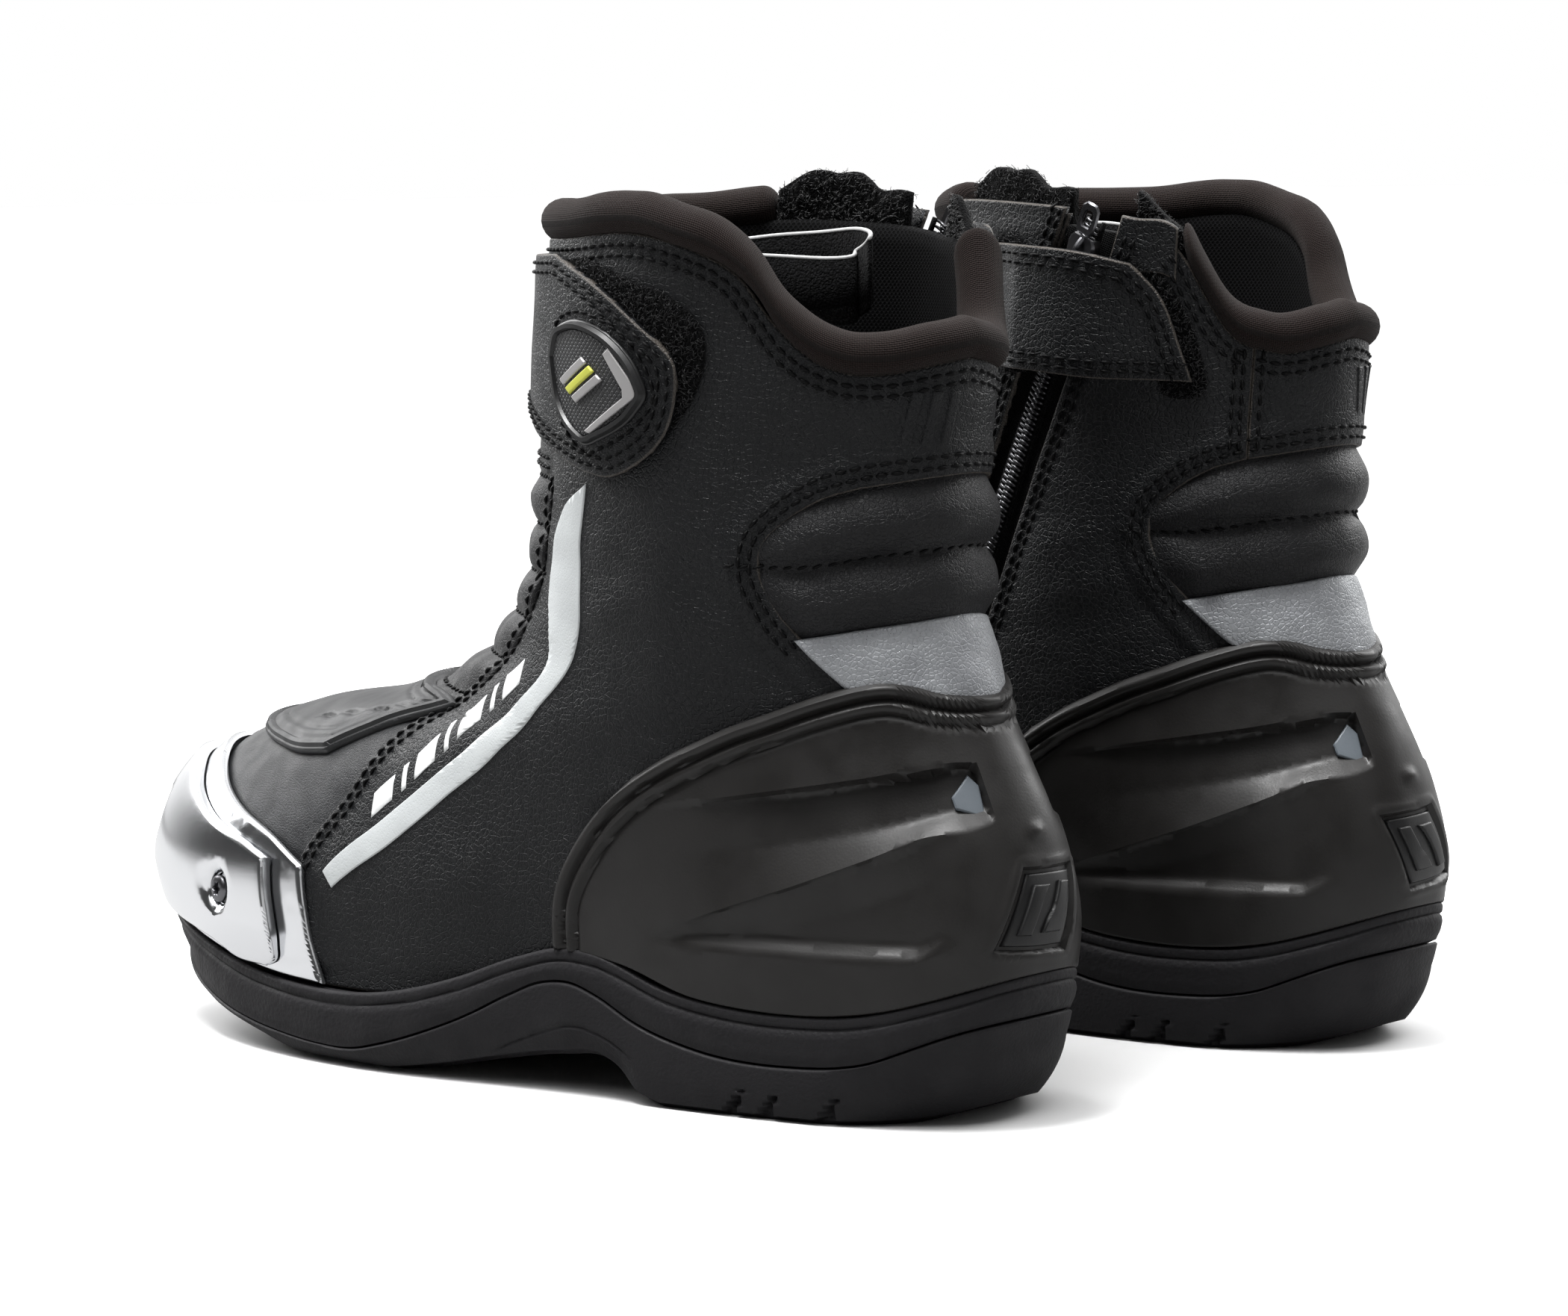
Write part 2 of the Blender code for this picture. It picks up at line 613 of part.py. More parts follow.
def front_accordion():
    heights = (97.5, 109, 120.5, 132.5, 145, 158.6)
    lines = []
    for k in range(len(heights) - 1):
        middle = (heights[k] + heights[k + 1]) / 2
        lines.append([(46, middle), (0, middle), (-46, middle)])
        if k:
            lines.append([(47, heights[k]), (0, heights[k]), (-47, heights[k])])
    return patch([SHIN_SEAM, CUFF_LINE, mirrored(SHIN_SEAM), INSTEP_LINE[::-1]],
                 LEATHER[0], rib(1.6, 4.6, heights), spacing=9, gap=0.5, lines=lines)


def lateral_quarter():
    front = [(61, seat_edge(61, 0.5))] + VAMP_SEAM[1:]
    runs = [sole_run(180, 61),
            front,
            SHIN_SEAM,
            [(52, 158), (25, 159), (0, 159), (FRONT_SEAM, 159)],
            [(FRONT_SEAM, 159), (FRONT_SEAM, rim(FRONT_SEAM, SEAM_DROP))],
            edge(rim, FRONT_SEAM, BACK_SEAM, SEAM_DROP, 26),
            [(BACK_SEAM, rim(BACK_SEAM, SEAM_DROP)), (BACK_SEAM, 157)],
            WINDOW_TOP[::-1],
            HEEL_WINDOW[::-1],
            WINDOW_FOOT[::-1],
            window_low(141, 180, 4.0),
            [(180, cup_top(180, 4.0)), (180, seat_edge(180, 0.5))]]
    runs[10][0] = (141, 103)
    return patch(runs, *LEATHER, spacing=17)


def side_run(start, stop, count=7):
    """A line that looks straight from the inner side, as points (angle, height)."""
    return [at_side(*(np.array(start) + (np.array(stop) - start) * k), -1) for k in np.linspace(0, 1, count)]


def zip_sides(half, past):
    """Front edge, rounded lower end and back edge of a band this wide along the zip."""
    top = np.array(ZIP_TOP)
    end = np.array(ZIP_END)
    way = (end - top) / np.linalg.norm(end - top)
    square = np.array([way[1], -way[0]]) * half
    front = side_run(top + square, end + square)
    back = side_run(end - square, top - square)
    foot = [front[-1], at_side(*(end + way * past), -1), back[0]]
    return front, foot, back


def medial_quarter():
    front, foot, back = zip_sides(ZIP_SLOT, ZIP_SLOT * 0.8)
    front[0] = (front[0][0], rim(front[0][0], BAND_DROP))
    back[-1] = (back[-1][0], rim(back[-1][0], BAND_DROP))
    seam = BACK_SEAM - 360
    window = [(-a, z) for a, z in HEEL_WINDOW]
    runs = [[(-61, seat_edge(-61, 0.5))] + [(-a, z) for a, z in VAMP_SEAM[1:]],
            [(-a, z) for a, z in SHIN_SEAM],
            [(-52, 158), (-25, 159), (FRONT_SEAM, 159)],
            [(FRONT_SEAM, 159), (FRONT_SEAM, rim(FRONT_SEAM, SEAM_DROP))],
            edge(rim, FRONT_SEAM, -BAND_ENDS[0], SEAM_DROP, 6),
            [(-BAND_ENDS[0], rim(-BAND_ENDS[0], SEAM_DROP)), (-BAND_ENDS[0], rim(-BAND_ENDS[0], BAND_DROP))],
            edge(rim, -BAND_ENDS[0], front[0][0], BAND_DROP, 6),
            front,
            foot,
            back,
            edge(rim, back[-1][0], -BAND_ENDS[1], BAND_DROP, 4),
            [(-BAND_ENDS[1], rim(-BAND_ENDS[1], BAND_DROP)), (-BAND_ENDS[1], rim(-BAND_ENDS[1], SEAM_DROP))],
            edge(rim, -BAND_ENDS[1], seam, SEAM_DROP, 7),
            [(seam, rim(seam, SEAM_DROP)), (seam, 157)],
            window[::-1],
            [(-128.5, 116), (-141, 103)],
            [(-141, 103)] + edge(cup_top, -141, -180, 4.0, 9)[1:],
            [(-180, cup_top(180, 4.0)), (-180, seat_edge(180, 0.5))],
            sole_run(-180, -61)]
    return patch(runs, *LEATHER, spacing=17)


def reflective_strip():
    low = [(-51.5, 47), (-30, 60.3), (-9, 75.5), (12, 90.5), (22, 99.5), (33, 111.5), (36, 122), (37.3, 141),
           (41, 157.5)]
    high = [(41, 157.5), (30, 150.5), (24, 141), (21.5, 130), (22.5, 119), (23, 111), (13, 99.5), (-9.5, 83),
            (-31, 68), (-55, 51)]
    return patch([[at_side(y, z, 1) for y, z in low], [at_side(y, z, 1) for y, z in high],
                  [at_side(-55, 51, 1), at_side(-51.5, 47, 1)]], *OVERLAY, spacing=10)


def rear_accordion():
    other = [(360 - a, z) for a, z in reversed(HEEL_WINDOW)]

    def puffed(angle, v):
        z = skin(angle, v)[:, 2]
        share = np.interp(z, (118, 139, 159), (0, 1, 2))
        return 1.9 + 4.1 * np.abs(np.sin(share * pi)) ** 0.7
    upper = [(a, z + 10) for a, z in RIB_LINE[1:-1]]
    lower = [(a, z - 10) for a, z in RIB_LINE[1:-1]]
    return patch([HEEL_WINDOW, WINDOW_TOP, other, SILVER_LINE[::-1]], LEATHER[0], puffed, spacing=11,
                 lines=[RIB_LINE, upper, lower])


def reflective_rib():
    low = window_low(141, 219, -0.9)
    low[0] = (141, 107.2)
    low[-1] = (219, 107.2)

    def puffed(angle, v):
        z = skin(angle, v)[:, 2]
        return 1.9 + 3.6 * np.clip(np.sin(np.interp(z, (104, 123), (0.25, 1)) * pi), 0, 1) ** 0.7
    return patch([[(141, 107.2), (128.5, 116)], SILVER_LINE, [(231.5, 116), (219, 107.2)], low[::-1]],
                 LEATHER[0], puffed, spacing=9)


def heel_cup():
    rise = [(101, 52), (103.5, 69), (108, 84)]
    low = edge(top_edge, 259, 101, 1.6, 20)
    up = [(101, top_edge(101, 1.6))] + rise
    crest = edge(cup_top, 108, 252, 0.0, 24)
    upper = [(122, 71), (142, 79), (164, 85.5), (170, 85.5), (171, 76), (158, 71), (142, 67), (128, 63)]
    lower = [(118, 43.5), (142, 58.5), (161, 67), (161, 50), (152, 44.5), (134, 42)]
    pockets = []
    for points, depth in ((upper, 2.0), (lower, 1.8)):
        pockets.append(([points + points[:1]], depth))
        across = [(360 - a, z) for a, z in points + points[:1]]
        pockets.append(([across], depth))
    return patch([up, crest, [(360 - a, z) for a, z in reversed(up)], low], *HEEL_CUP,
                 spacing=14, pockets=pockets)


def heel_badge():
    corners = [(175.5, 62.5), (189.5, 61.8), (182.5, 44.6), (168.5, 45.6), (175.5, 62.5)]
    return patch([corners[i:i + 2] for i in range(4)], *HEEL_BADGE, spacing=7)


def slider_outline():
    """Upper, rear, lower and front runs of the toe slider's base."""
    upper = [(-12, 72), (5, 75.5), (20, 74.6), (31.5, 71), (40.5, 66.9), (49, 62.8), (59, 57.8), (66, 51.6)]
    rear = [(66, 51.6), (67, 40), (67, top_edge(67, 0.7))]
    low = edge(top_edge, 67, -8, 0.7, 10)
    front = [(-8, top_edge(-8, 0.7)), (-18, 48), (-19, 60), (-12, 72)]
    return [upper, rear, low, front]


def screw_hole(index, radius):
    return ring_round(SCREW_ANGLES[index], SCREW_HEIGHTS[index], radius)


def toe_slider_base():
    holes = [screw_hole(k, SCREW_SHANK + 0.5) for k in (0, 1)]
    return patch(slider_outline(), *SLIDER_BASE, spacing=11, holes=holes)


def toe_slider_plate():
    upper = [(-7, 67), (8, 70.5), (24.5, 68.8), (35.5, 64), (47.5, 58.3), (56, 55), (61, 52.3)]
    rear = [(61, 52.3), (61.5, 46.3), (61.5, 30.2), (60, 25.8), (57.5, 24.4)]
    low = [(57.5, 24.4), (51.5, 25.4), (46.5, 29.1), (43, 30.6), (30, 34), (15, 38), (-3, 40)]
    front = [(-3, 40), (-9, 50), (-11, 60), (-7, 67)]
    holes = [screw_hole(k, SCREW_HEAD + 0.5) for k in (0, 1)]
    return patch([upper, rear, low, front], *SLIDER_PLATE, spacing=10, holes=holes)


def toe_screw(index):
    """Countersunk screw with a drive recess, square to the slider."""
    angle = radians(SCREW_ANGLES[index])
    v = level(angle, SCREW_HEIGHTS[index])
    out = normal(angle, v)
    foot = skin(angle, v)
    profile = [(0, 2.4), (SCREW_SHANK, 2.4), (SCREW_SHANK, 5.3), (SCREW_HEAD, 6.0), (SCREW_HEAD, 7.4),
               (SCREW_HEAD - 0.5, 7.8), (1.5, 7.8), (1.4, 6.6), (0, 6.6)]
    return turned(profile, foot, out, 12)


def shift_pad():
    upper = [(59.5, 94.6), (56.5, 96), (30, 96.6), (0, 97), (-24, 96.6), (-46, 94)]
    lower = [(-44, 79), (-20, 81), (0, 82), (20, 81), (40, 79), (55, 79.1)]
    outline = [[lower[-1], upper[0]], upper, [upper[-1], lower[0]], lower]
    return patch(outline, 3.1, 4.8, spacing=11)


def collar():
    """Padded knit roll round the rim, from the inner shin round the outside to the inner heel."""
    start, stop = -56.0, 236.0
    profile = [(6.4 * cos(a) - 0.6, 5.8 * sin(a)) for a in np.linspace(0, 2 * pi, 9)[:-1]]
    rows = []
    for a in np.linspace(start, stop, 28):
        turn = radians(a)
        v = level(turn, rim(a))
        out = normal(turn, v)
        out[2] = 0
        out /= np.linalg.norm(out)
        centre = skin(turn, v)
        rows.append([centre + out * (r - 1.2) + np.array([0, 0, h]) for r, h in profile])
    size = len(profile)
    points = np.array([p for row in rows for p in row])
    faces = [[size * k + i, size * (k + 1) + i, size * (k + 1) + (i + 1) % size, size * k + (i + 1) % size]
             for k in range(len(rows) - 1) for i in range(size)]
    faces += [list(range(size)), [size * len(rows) - 1 - i for i in range(size)]]
    return points, faces


# ---- the zip: one straight track on the inner side ----
def track():
    """Start, end, direction, outward and across vectors of the zip's straight track."""
    ends = []
    for y, z in (ZIP_TOP, ZIP_END):
        a = radians(at_side(y, z, -1)[0])
        ends.append(surface(a, level(a, z), 0.6))
    way = ends[1] - ends[0]
    way /= np.linalg.norm(way)
    out = np.array([-1.0, 0, 0])
    out -= way * out.dot(way)
    out /= np.linalg.norm(out)
    return ends[0], ends[1], way, out, np.cross(way, out)


def zip_tape():
    front, foot, back = zip_sides(ZIP_SLOT + 2.5, ZIP_SLOT)
    front[0] = (front[0][0], rim(front[0][0], 5.0))
    back[-1] = (back[-1][0], rim(back[-1][0], 5.0))
    return patch([front, foot, back, [back[-1], front[0]]], -2.7, -0.9, spacing=12)


def zip_coil():
    start, stop, way, out, across = track()
    outline = [(-2.2, 0), (2.2, 0), (2.2, 1.1), (1.4, 1.8), (-1.4, 1.8), (-2.2, 1.1)]
    return prism(outline, start, stop, across, out)


def zip_slider():
    start, _, way, out, across = track()
    outline = [(-4.6, 0.3), (-2.7, 0.3), (-2.7, 2.2), (2.7, 2.2), (2.7, 0.3), (4.6, 0.3), (4.6, 3.0),
               (3.8, 3.6), (1.0, 3.6), (1.0, 4.8), (-1.0, 4.8), (-1.0, 3.6), (-3.8, 3.6), (-4.6, 3.0)]
    return prism(outline, start + way * 5.0, start + way * 14.0, across, out)


def pull_hinge():
    start, _, way, out, _ = track()
    return start + way * 3.9 + out * 3.6


def zip_pull():
    """Short tab standing up from the upper end of the slider, with an eye in it."""
    _, _, way, out, across = track()
    foot = pull_hinge()
    outer = [(-2.2, -0.3), (2.2, -0.3), (3.0, 2.0), (3.0, 7.0),
             (1.6, 8.6), (-1.6, 8.6), (-3.0, 7.0), (-3.0, 2.0)]
    eye = [(-1.4, 2.4), (1.4, 2.4), (1.7, 3.2), (1.7, 5.8),
           (1.0, 6.8), (-1.0, 6.8), (-1.7, 5.8), (-1.7, 3.2)]
    points = []
    for height in (-0.6, 0.7):
        for ring in (outer, eye):
            points += [foot + across * a - way * b + out * height for a, b in ring]
    faces = []
    for i in range(8):
        j = (i + 1) % 8
        faces += [[i, j, j + 8, i + 8], [i + 16, i + 24, j + 24, j + 16],
                  [i, i + 16, j + 16, j], [i + 8, j + 8, j + 24, i + 24]]
    return np.array(points), faces


# ---- the two closures that swing open ----
FLAP_ROOT = ((47.0, 182.0), (47.0, 215.0))
STRAP_ROOT = -36.0


def flap_distance(angle, v):
    """Inner face of the flap: sewn down at its root, clear of the zip, close again at its end."""
    turn = np.degrees(angle)
    return np.interp(-turn, (70, 78, 86, 106, 118, 130), (2.5, 3.4, 7.8, 7.8, 4.8, 4.2))


def zip_flap():
    low, high = (at_side(y, z, -1) for y, z in FLAP_ROOT)
    top = [high, (-90, 214.5), (-103, 213), (-113, 210)]
    end = [(-113, 210), (-120, 201), (-125, 188), (-128.5, 178.5)]
    bottom = [(-128.5, 178.5), (-105, 180), (-90, 181.5), low]
    return patch([[low, high], top, end, bottom], flap_distance,
                 lambda a, v: flap_distance(a, v) + FLAP_THICKNESS, spacing=9)


def strap():
    runs = [[(STRAP_ROOT, 176), (STRAP_ROOT, 213)],
            [(STRAP_ROOT, 213), (0, 213.8), (37, 214.2), (58, 214)],
            [(58, 214), (75.5, 207.6), (95.5, 193.6)],
            [(95.5, 193.6), (99.6, 188), (100.3, 180.7), (98.5, 171), (91, 163), (84.5, 160.2), (76, 161.2)],
            [(76, 161.2), (60, 165.6), (40, 171.6)],
            [(40, 171.6), (0, 175), (STRAP_ROOT, 176)]]
    return patch(runs, *STRAP, spacing=11)


def strap_badge():
    points = [(60, 189.4), (62, 195.4), (67, 197.8), (79, 196.8), (84, 194.2), (92, 184.8), (93.5, 180.7),
              (91.2, 176), (81.5, 169.2), (77, 167.8), (73.5, 169.4), (65.5, 176.5), (60, 189.4)]
    return patch([points], *STRAP_BADGE, spacing=7)


def strap_hinge():
    angle = radians(STRAP_ROOT)
    ends = [surface(angle, level(angle, z), sum(STRAP) / 2) for z in (176, 213)]
    return (ends[0] + ends[1]) / 2, (ends[1] - ends[0]) / np.linalg.norm(ends[1] - ends[0])


def flap_hinge():
    ends = []
    for y, z in FLAP_ROOT:
        angle = radians(at_side(y, z, -1)[0])
        ends.append(surface(angle, level(angle, z), 2.5 + FLAP_THICKNESS / 2))
    return (ends[0] + ends[1]) / 2, (ends[1] - ends[0]) / np.linalg.norm(ends[1] - ends[0])


# ---- assembly ----
def material(name):
    """The shared Principled material of this name."""
    if name in bpy.data.materials:
        return bpy.data.materials[name]
    colour, roughness, metallic = COLOURS[name]
    made = bpy.data.materials.new(name)
    made.use_nodes = True
    shader = made.node_tree.nodes["Principled BSDF"]
    shader.inputs["Base Color"].default_value = (*colour, 1)
    shader.inputs["Roughness"].default_value = roughness
    shader.inputs["Metallic"].default_value = metallic
    made.diffuse_color = (*colour, 1)
    return made


def place(name, shape, finish, side, boot, origin=(0, 0, 0), parent=None):
    """Make one named object of a boot; side is 1 for the left boot and -1 for the right."""
    points, faces = shape
    origin = np.asarray(origin, float)
    local = (np.asarray(points, float) - origin) * (side, 1, 1) / 1000
    if side < 0:
        faces = [face[::-1] for face in faces]
    mesh = bpy.data.meshes.new(name)
    mesh.from_pydata([tuple(p) for p in local], [], [list(map(int, face)) for face in faces])
    mesh.materials.append(material(finish))
    mesh.validate()
    made = bpy.data.objects.new(name, mesh)
    bpy.context.collection.objects.link(made)
    made.parent = boot if parent is None else parent
    start = np.asarray(parent["origin"]) if parent is not None else np.zeros(3)
    made.location = Vector((origin - start) * (side, 1, 1) / 1000)
    made["origin"] = [float(c) for c in origin]
    return made


def build_boot(word, side):
    boot = bpy.data.objects.new(word + "_boot", None)
    boot.location = (side * PITCH / 2000, (CENTRE_Y - side * STAGGER / 2) / 1000, 0)
    bpy.context.collection.objects.link(boot)
    fixed = (
        ("outsole", outsole(), "rubber"),
        ("midsole", midsole(), "rubber"),
        ("shank", shank(), "steel"),
        ("insole_board", insole_board(), "board"),
        ("footbed", footbed(), "foam"),
        ("lining", lining(), "mesh"),
        ("toe_puff", toe_puff(), "plastic"),
        ("heel_counter", heel_counter(), "plastic"),
        ("vamp", vamp(), "vamp_leather"),
        ("shift_pad", shift_pad(), "rubber"),
        ("lateral_quarter", lateral_quarter(), "leather"),
        ("medial_quarter", medial_quarter(), "leather"),
        ("reflective_strip", reflective_strip(), "silver_cloth"),
        ("front_accordion", front_accordion(), "leather"),
        ("rear_accordion", rear_accordion(), "leather"),
        ("reflective_rib", reflective_rib(), "silver_cloth"),
        ("heel_cup", heel_cup(), "cup_plastic"),
        ("heel_badge", heel_badge(), "rubber"),
        ("toe_slider_base", toe_slider_base(), "chrome"),
        ("toe_slider_plate", toe_slider_plate(), "chrome"),
        ("toe_screw_rear", toe_screw(0), "steel"),
        ("toe_screw_front", toe_screw(1), "steel"),
        ("collar", collar(), "knit"),
        ("zip_tape", zip_tape(), "mesh"),
        ("zip_coil", zip_coil(), "plastic"),
    )
    for name, shape, finish in fixed:
        place(f"{word}_{name}", shape, finish, side, boot)
    hinge = strap_hinge()[0]
    band = place(word + "_strap", strap(), "leather", side, boot, hinge)
    place(word + "_strap_badge", strap_badge(), "rubber", side, boot, hinge, band)
    place(word + "_zip_flap", zip_flap(), "leather", side, boot, flap_hinge()[0])
    start, _, way, _, _ = track()
    runner = place(word + "_zip_slider", zip_slider(), "steel", side, boot, start + way * 9.5)
    place(word + "_zip_pull", zip_pull(), "steel", side, boot, pull_hinge(), runner)


for old in list(bpy.data.objects):
    bpy.data.objects.remove(old, do_unlink=True)
build_boot("left", 1)
build_boot("right", -1)
bpy.context.view_layer.update()
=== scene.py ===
"""Looks of a pair of short motorcycle boots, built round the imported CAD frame.

Each boot is drawn once, in millimetres, in the left boot's own frame (toe to -Y, outer side +X, ground at 0),
on the same skin as the CAD, and is then written out as a left boot and as a mirrored right boot.
"""

from math import cos, degrees, pi, radians, sin

import bmesh
import bpy
import numpy as np
from mathutils import Matrix, Vector, noise
from mathutils.bvhtree import BVHTree
from mathutils.geometry import delaunay_2d_cdt


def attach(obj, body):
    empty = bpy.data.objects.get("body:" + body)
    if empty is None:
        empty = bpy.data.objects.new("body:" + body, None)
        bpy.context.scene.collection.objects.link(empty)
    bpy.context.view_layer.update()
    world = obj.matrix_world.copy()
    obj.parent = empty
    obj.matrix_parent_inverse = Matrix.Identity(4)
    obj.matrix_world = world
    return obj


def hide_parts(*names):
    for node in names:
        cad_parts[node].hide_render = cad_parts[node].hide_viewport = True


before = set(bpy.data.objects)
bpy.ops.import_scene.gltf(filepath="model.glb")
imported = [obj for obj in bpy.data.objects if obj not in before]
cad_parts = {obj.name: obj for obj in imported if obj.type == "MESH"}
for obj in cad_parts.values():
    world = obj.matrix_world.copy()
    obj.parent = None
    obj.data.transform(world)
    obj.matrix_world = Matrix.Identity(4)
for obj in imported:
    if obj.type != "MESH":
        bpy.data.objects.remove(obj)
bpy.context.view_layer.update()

PITCH = 138.0           # between the two boots, across
STAGGER = 16.0          # between the two boots, along
CENTRE_Y = 2.97
SIDES = (("left", 1), ("right", -1))

# ---- the skin that every piece is laid on: v, front (y, z), back (y, z), in millimetres ----
PROFILE = (
    (0.00, (-139, 21), (140, 19)), (0.08, (-150, 37), (144, 34)), (0.16, (-150, 57), (146, 50)),
    (0.25, (-135, 75), (143, 67)), (0.36, (-103, 87), (136, 85)), (0.47, (-64, 94), (128, 102)),
    (0.57, (-31, 108), (123, 119)), (0.67, (-12, 131), (122, 137)), (0.77, (-6, 160), (123, 160)),
    (0.88, (-1, 195), (127, 195)), (1.00, (4, 235), (131, 235)),
)
WIDTHS = (
    (0.00, 2.8, (50, 52, 50, 42, 39, 39), (47, 50, 43, 36, 37, 38)),
    (0.16, 2.7, (46, 50, 49, 43, 41, 40), (44, 48, 42, 37, 39, 39)),
    (0.25, 2.5, (36, 43, 46, 43, 41, 39), (36, 42, 41, 39, 40, 38)),
    (0.36, 2.2, (29, 38, 44, 43, 40, 36), (29, 37, 41, 41, 39, 35)),
    (0.57, 2.1, (34, 40, 43, 43, 38, 33), (34, 40, 42, 42, 39, 33)),
    (0.77, 2.1, (40, 43, 45, 44, 39, 34), (40, 43, 44, 44, 40, 34)),
    (1.00, 2.2, (44, 46, 48, 47, 43, 38), (44, 46, 47, 48, 44, 38)),
)
SOLE_V = 0.06           # the level of the skin at which the sole's height rules are read
LEVELS = np.array([row[0] for row in PROFILE])
FRONT = np.array([row[1] for row in PROFILE], float)
BACK = np.array([row[2] for row in PROFILE], float)
WIDTH_LEVELS = np.array([row[0] for row in WIDTHS])
ROUNDNESS = np.array([row[1] for row in WIDTHS])
OUTER_WIDTHS = np.array([row[2] for row in WIDTHS], float)
INNER_WIDTHS = np.array([row[3] for row in WIDTHS], float)

SOLE_TOP = ((-160, 36), (-148, 33), (-138, 31), (-125, 28.5), (-113, 26), (-100, 23.4), (-80, 21),
            (-31, 22.2), (-6, 28.2), (13, 34.6), (28, 38.2), (38, 37.8), (62, 30.2), (80, 27.6),
            (98, 27), (118, 28.6), (136, 34.5), (146, 39.5), (156, 41))
SEAT = ((-160, 26), (-138, 23), (-113, 21.2), (-80, 20.2), (-31, 20.2), (10, 22.5), (40, 24), (156, 25))
GROOVE = ((-160, 31.5), (-148, 27), (-138, 21), (-127, 16), (-115, 12.6), (-104, 10.2), (-90, 8),
          (-75, 6.4), (-60, 5.4), (-45, 5.6), (-36, 7.6), (-12, 15.4), (9, 24.3), (22, 28.8), (31, 29.2),
          (39, 26.6), (50, 21), (68, 16), (97, 13.8), (118, 15.8), (145, 27.5), (156, 30))
GROUND = ((-160, 29), (-150, 24.5), (-138, 16.5), (-127, 11.5), (-115, 8), (-104, 5.6), (-90, 3.2),
          (-80, 1.3), (-72, 0), (-35, 0), (-20, 2.2), (5, 7), (25, 10), (38, 10.5), (44, 8), (51, 2.4),
          (58, 0), (120, 0), (132, 0.8), (140, 2.6), (146, 5.0), (156, 10))
RIM_OUTER = ((0, 222.5), (35, 223), (62, 223.5), (80, 224.7), (88, 224.5), (97, 222), (109, 217),
             (117, 209.5), (122, 201.5), (129, 194.7), (138, 190.5), (148, 189.8), (164, 191.8), (180, 193.5))
RIM_INNER = ((0, 222.5), (35, 224), (57, 225.5), (80, 224.7), (98, 223), (112, 220.5), (124, 216.5),
             (130, 206), (137, 195.5), (148, 190.5), (168, 191.8), (180, 193.5))
CUP_TOP = ((108, 84), (114, 92.5), (127, 101.8), (141.5, 107.8), (150, 109.2), (157, 108.3),
           (166, 105.6), (173, 104.4), (180, 104))


def spline(keys, values, x):
    keys = np.asarray(keys, float)
    values = np.asarray(values, float)
    x = np.clip(np.asarray(x, float), keys[0], keys[-1])
    column = (-1,) + (1,) * (values.ndim - 1)
    step = np.diff(keys)
    slope = np.diff(values, axis=0) / step.reshape(column)
    tangent = np.empty_like(values)
    tangent[0] = slope[0]
    tangent[-1] = slope[-1]
    ahead = step[1:].reshape(column)
    behind = step[:-1].reshape(column)
    tangent[1:-1] = (slope[:-1] * ahead + slope[1:] * behind) / (ahead + behind)
    i = np.clip(np.searchsorted(keys, x, side="right") - 1, 0, len(keys) - 2)
    wide = step[i].reshape(x.shape + (1,) * (values.ndim - 1))
    s = ((x - keys[i]) / step[i]).reshape(wide.shape)
    return ((1 + 2 * s) * (1 - s) ** 2 * values[i] + s * (1 - s) ** 2 * wide * tangent[i]
            + s * s * (3 - 2 * s) * values[i + 1] + s * s * (s - 1) * wide * tangent[i + 1])


def arc(points):
    """Length walked along a line of points, at each point."""
    return np.concatenate([[0], np.cumsum(np.linalg.norm(np.diff(points, axis=0), axis=1))])


def along(table, x):
    return spline([row[0] for row in table], [row[1] for row in table], x)


def half_width(rows, v, share):
    """Half width of the skin at level v, share of the way from toe to heel."""
    across = spline(WIDTH_LEVELS, rows, v)
    spots = share * (rows.shape[1] - 1)
    i = np.clip(spots.astype(int), 0, rows.shape[1] - 2)
    s = spots - i
    padded = np.concatenate([2 * across[:, :1] - across[:, 1:2], across,
                             2 * across[:, -1:] - across[:, -2:-1]], 1)
    pick = np.arange(len(i))
    a, b, c, d = (padded[pick, i + k] for k in range(4))
    return b + 0.5 * s * (c - a + s * (2 * a - 5 * b + 4 * c - d + s * (3 * (b - c) + d - a)))


def skin(angle, v):
    """Points of the skin at angles in radians (0 at the toe, positive to the outer side) and levels."""
    angle, v = np.broadcast_arrays(np.asarray(angle, float), np.asarray(v, float))
    shape = angle.shape
    angle = (angle.ravel() + pi) % (2 * pi) - pi
    v = v.ravel()
    share = (1 - np.cos(angle)) / 2
    front = spline(LEVELS, FRONT, v)
    yz = front + (spline(LEVELS, BACK, v) - front) * share[:, None]
    power = spline(WIDTH_LEVELS, ROUNDNESS, v)
    reach = np.clip(1 - np.abs(np.cos(angle)) ** power, 0, 1) ** (1 / power)
    outer = half_width(OUTER_WIDTHS, v, share)
    inner = half_width(INNER_WIDTHS, v, share)
    x = np.where(angle >= 0, outer, -inner) * reach
    return np.stack([x, yz[:, 0], yz[:, 1]], -1).reshape(shape + (3,))


def slopes(angle, v):
    """The skin's change of place per radian and per level."""
    small = 2e-3
    v = np.clip(v, 0, 1)
    low = np.clip(v - small, 0, 1)
    high = np.clip(v + small, 0, 1)
    turn = (skin(angle + small, v) - skin(angle - small, v)) / (2 * small)
    rise = (skin(angle, high) - skin(angle, low)) / (high - low)[..., None]
    return turn, rise


def normal(angle, v):
    turn, rise = slopes(np.asarray(angle, float), np.asarray(v, float))
    out = np.cross(turn, rise)
    return out / np.linalg.norm(out, axis=-1, keepdims=True)


def surface(angle, v, distance=0.0):
    distance = np.broadcast_to(np.asarray(distance, float), np.shape(v))
    return skin(angle, v) + normal(angle, v) * distance[..., None]


V_TABLE = np.linspace(0, 1, 401)
FRONT_Z = spline(LEVELS, FRONT, V_TABLE)[:, 1]
BACK_Z = spline(LEVELS, BACK, V_TABLE)[:, 1]


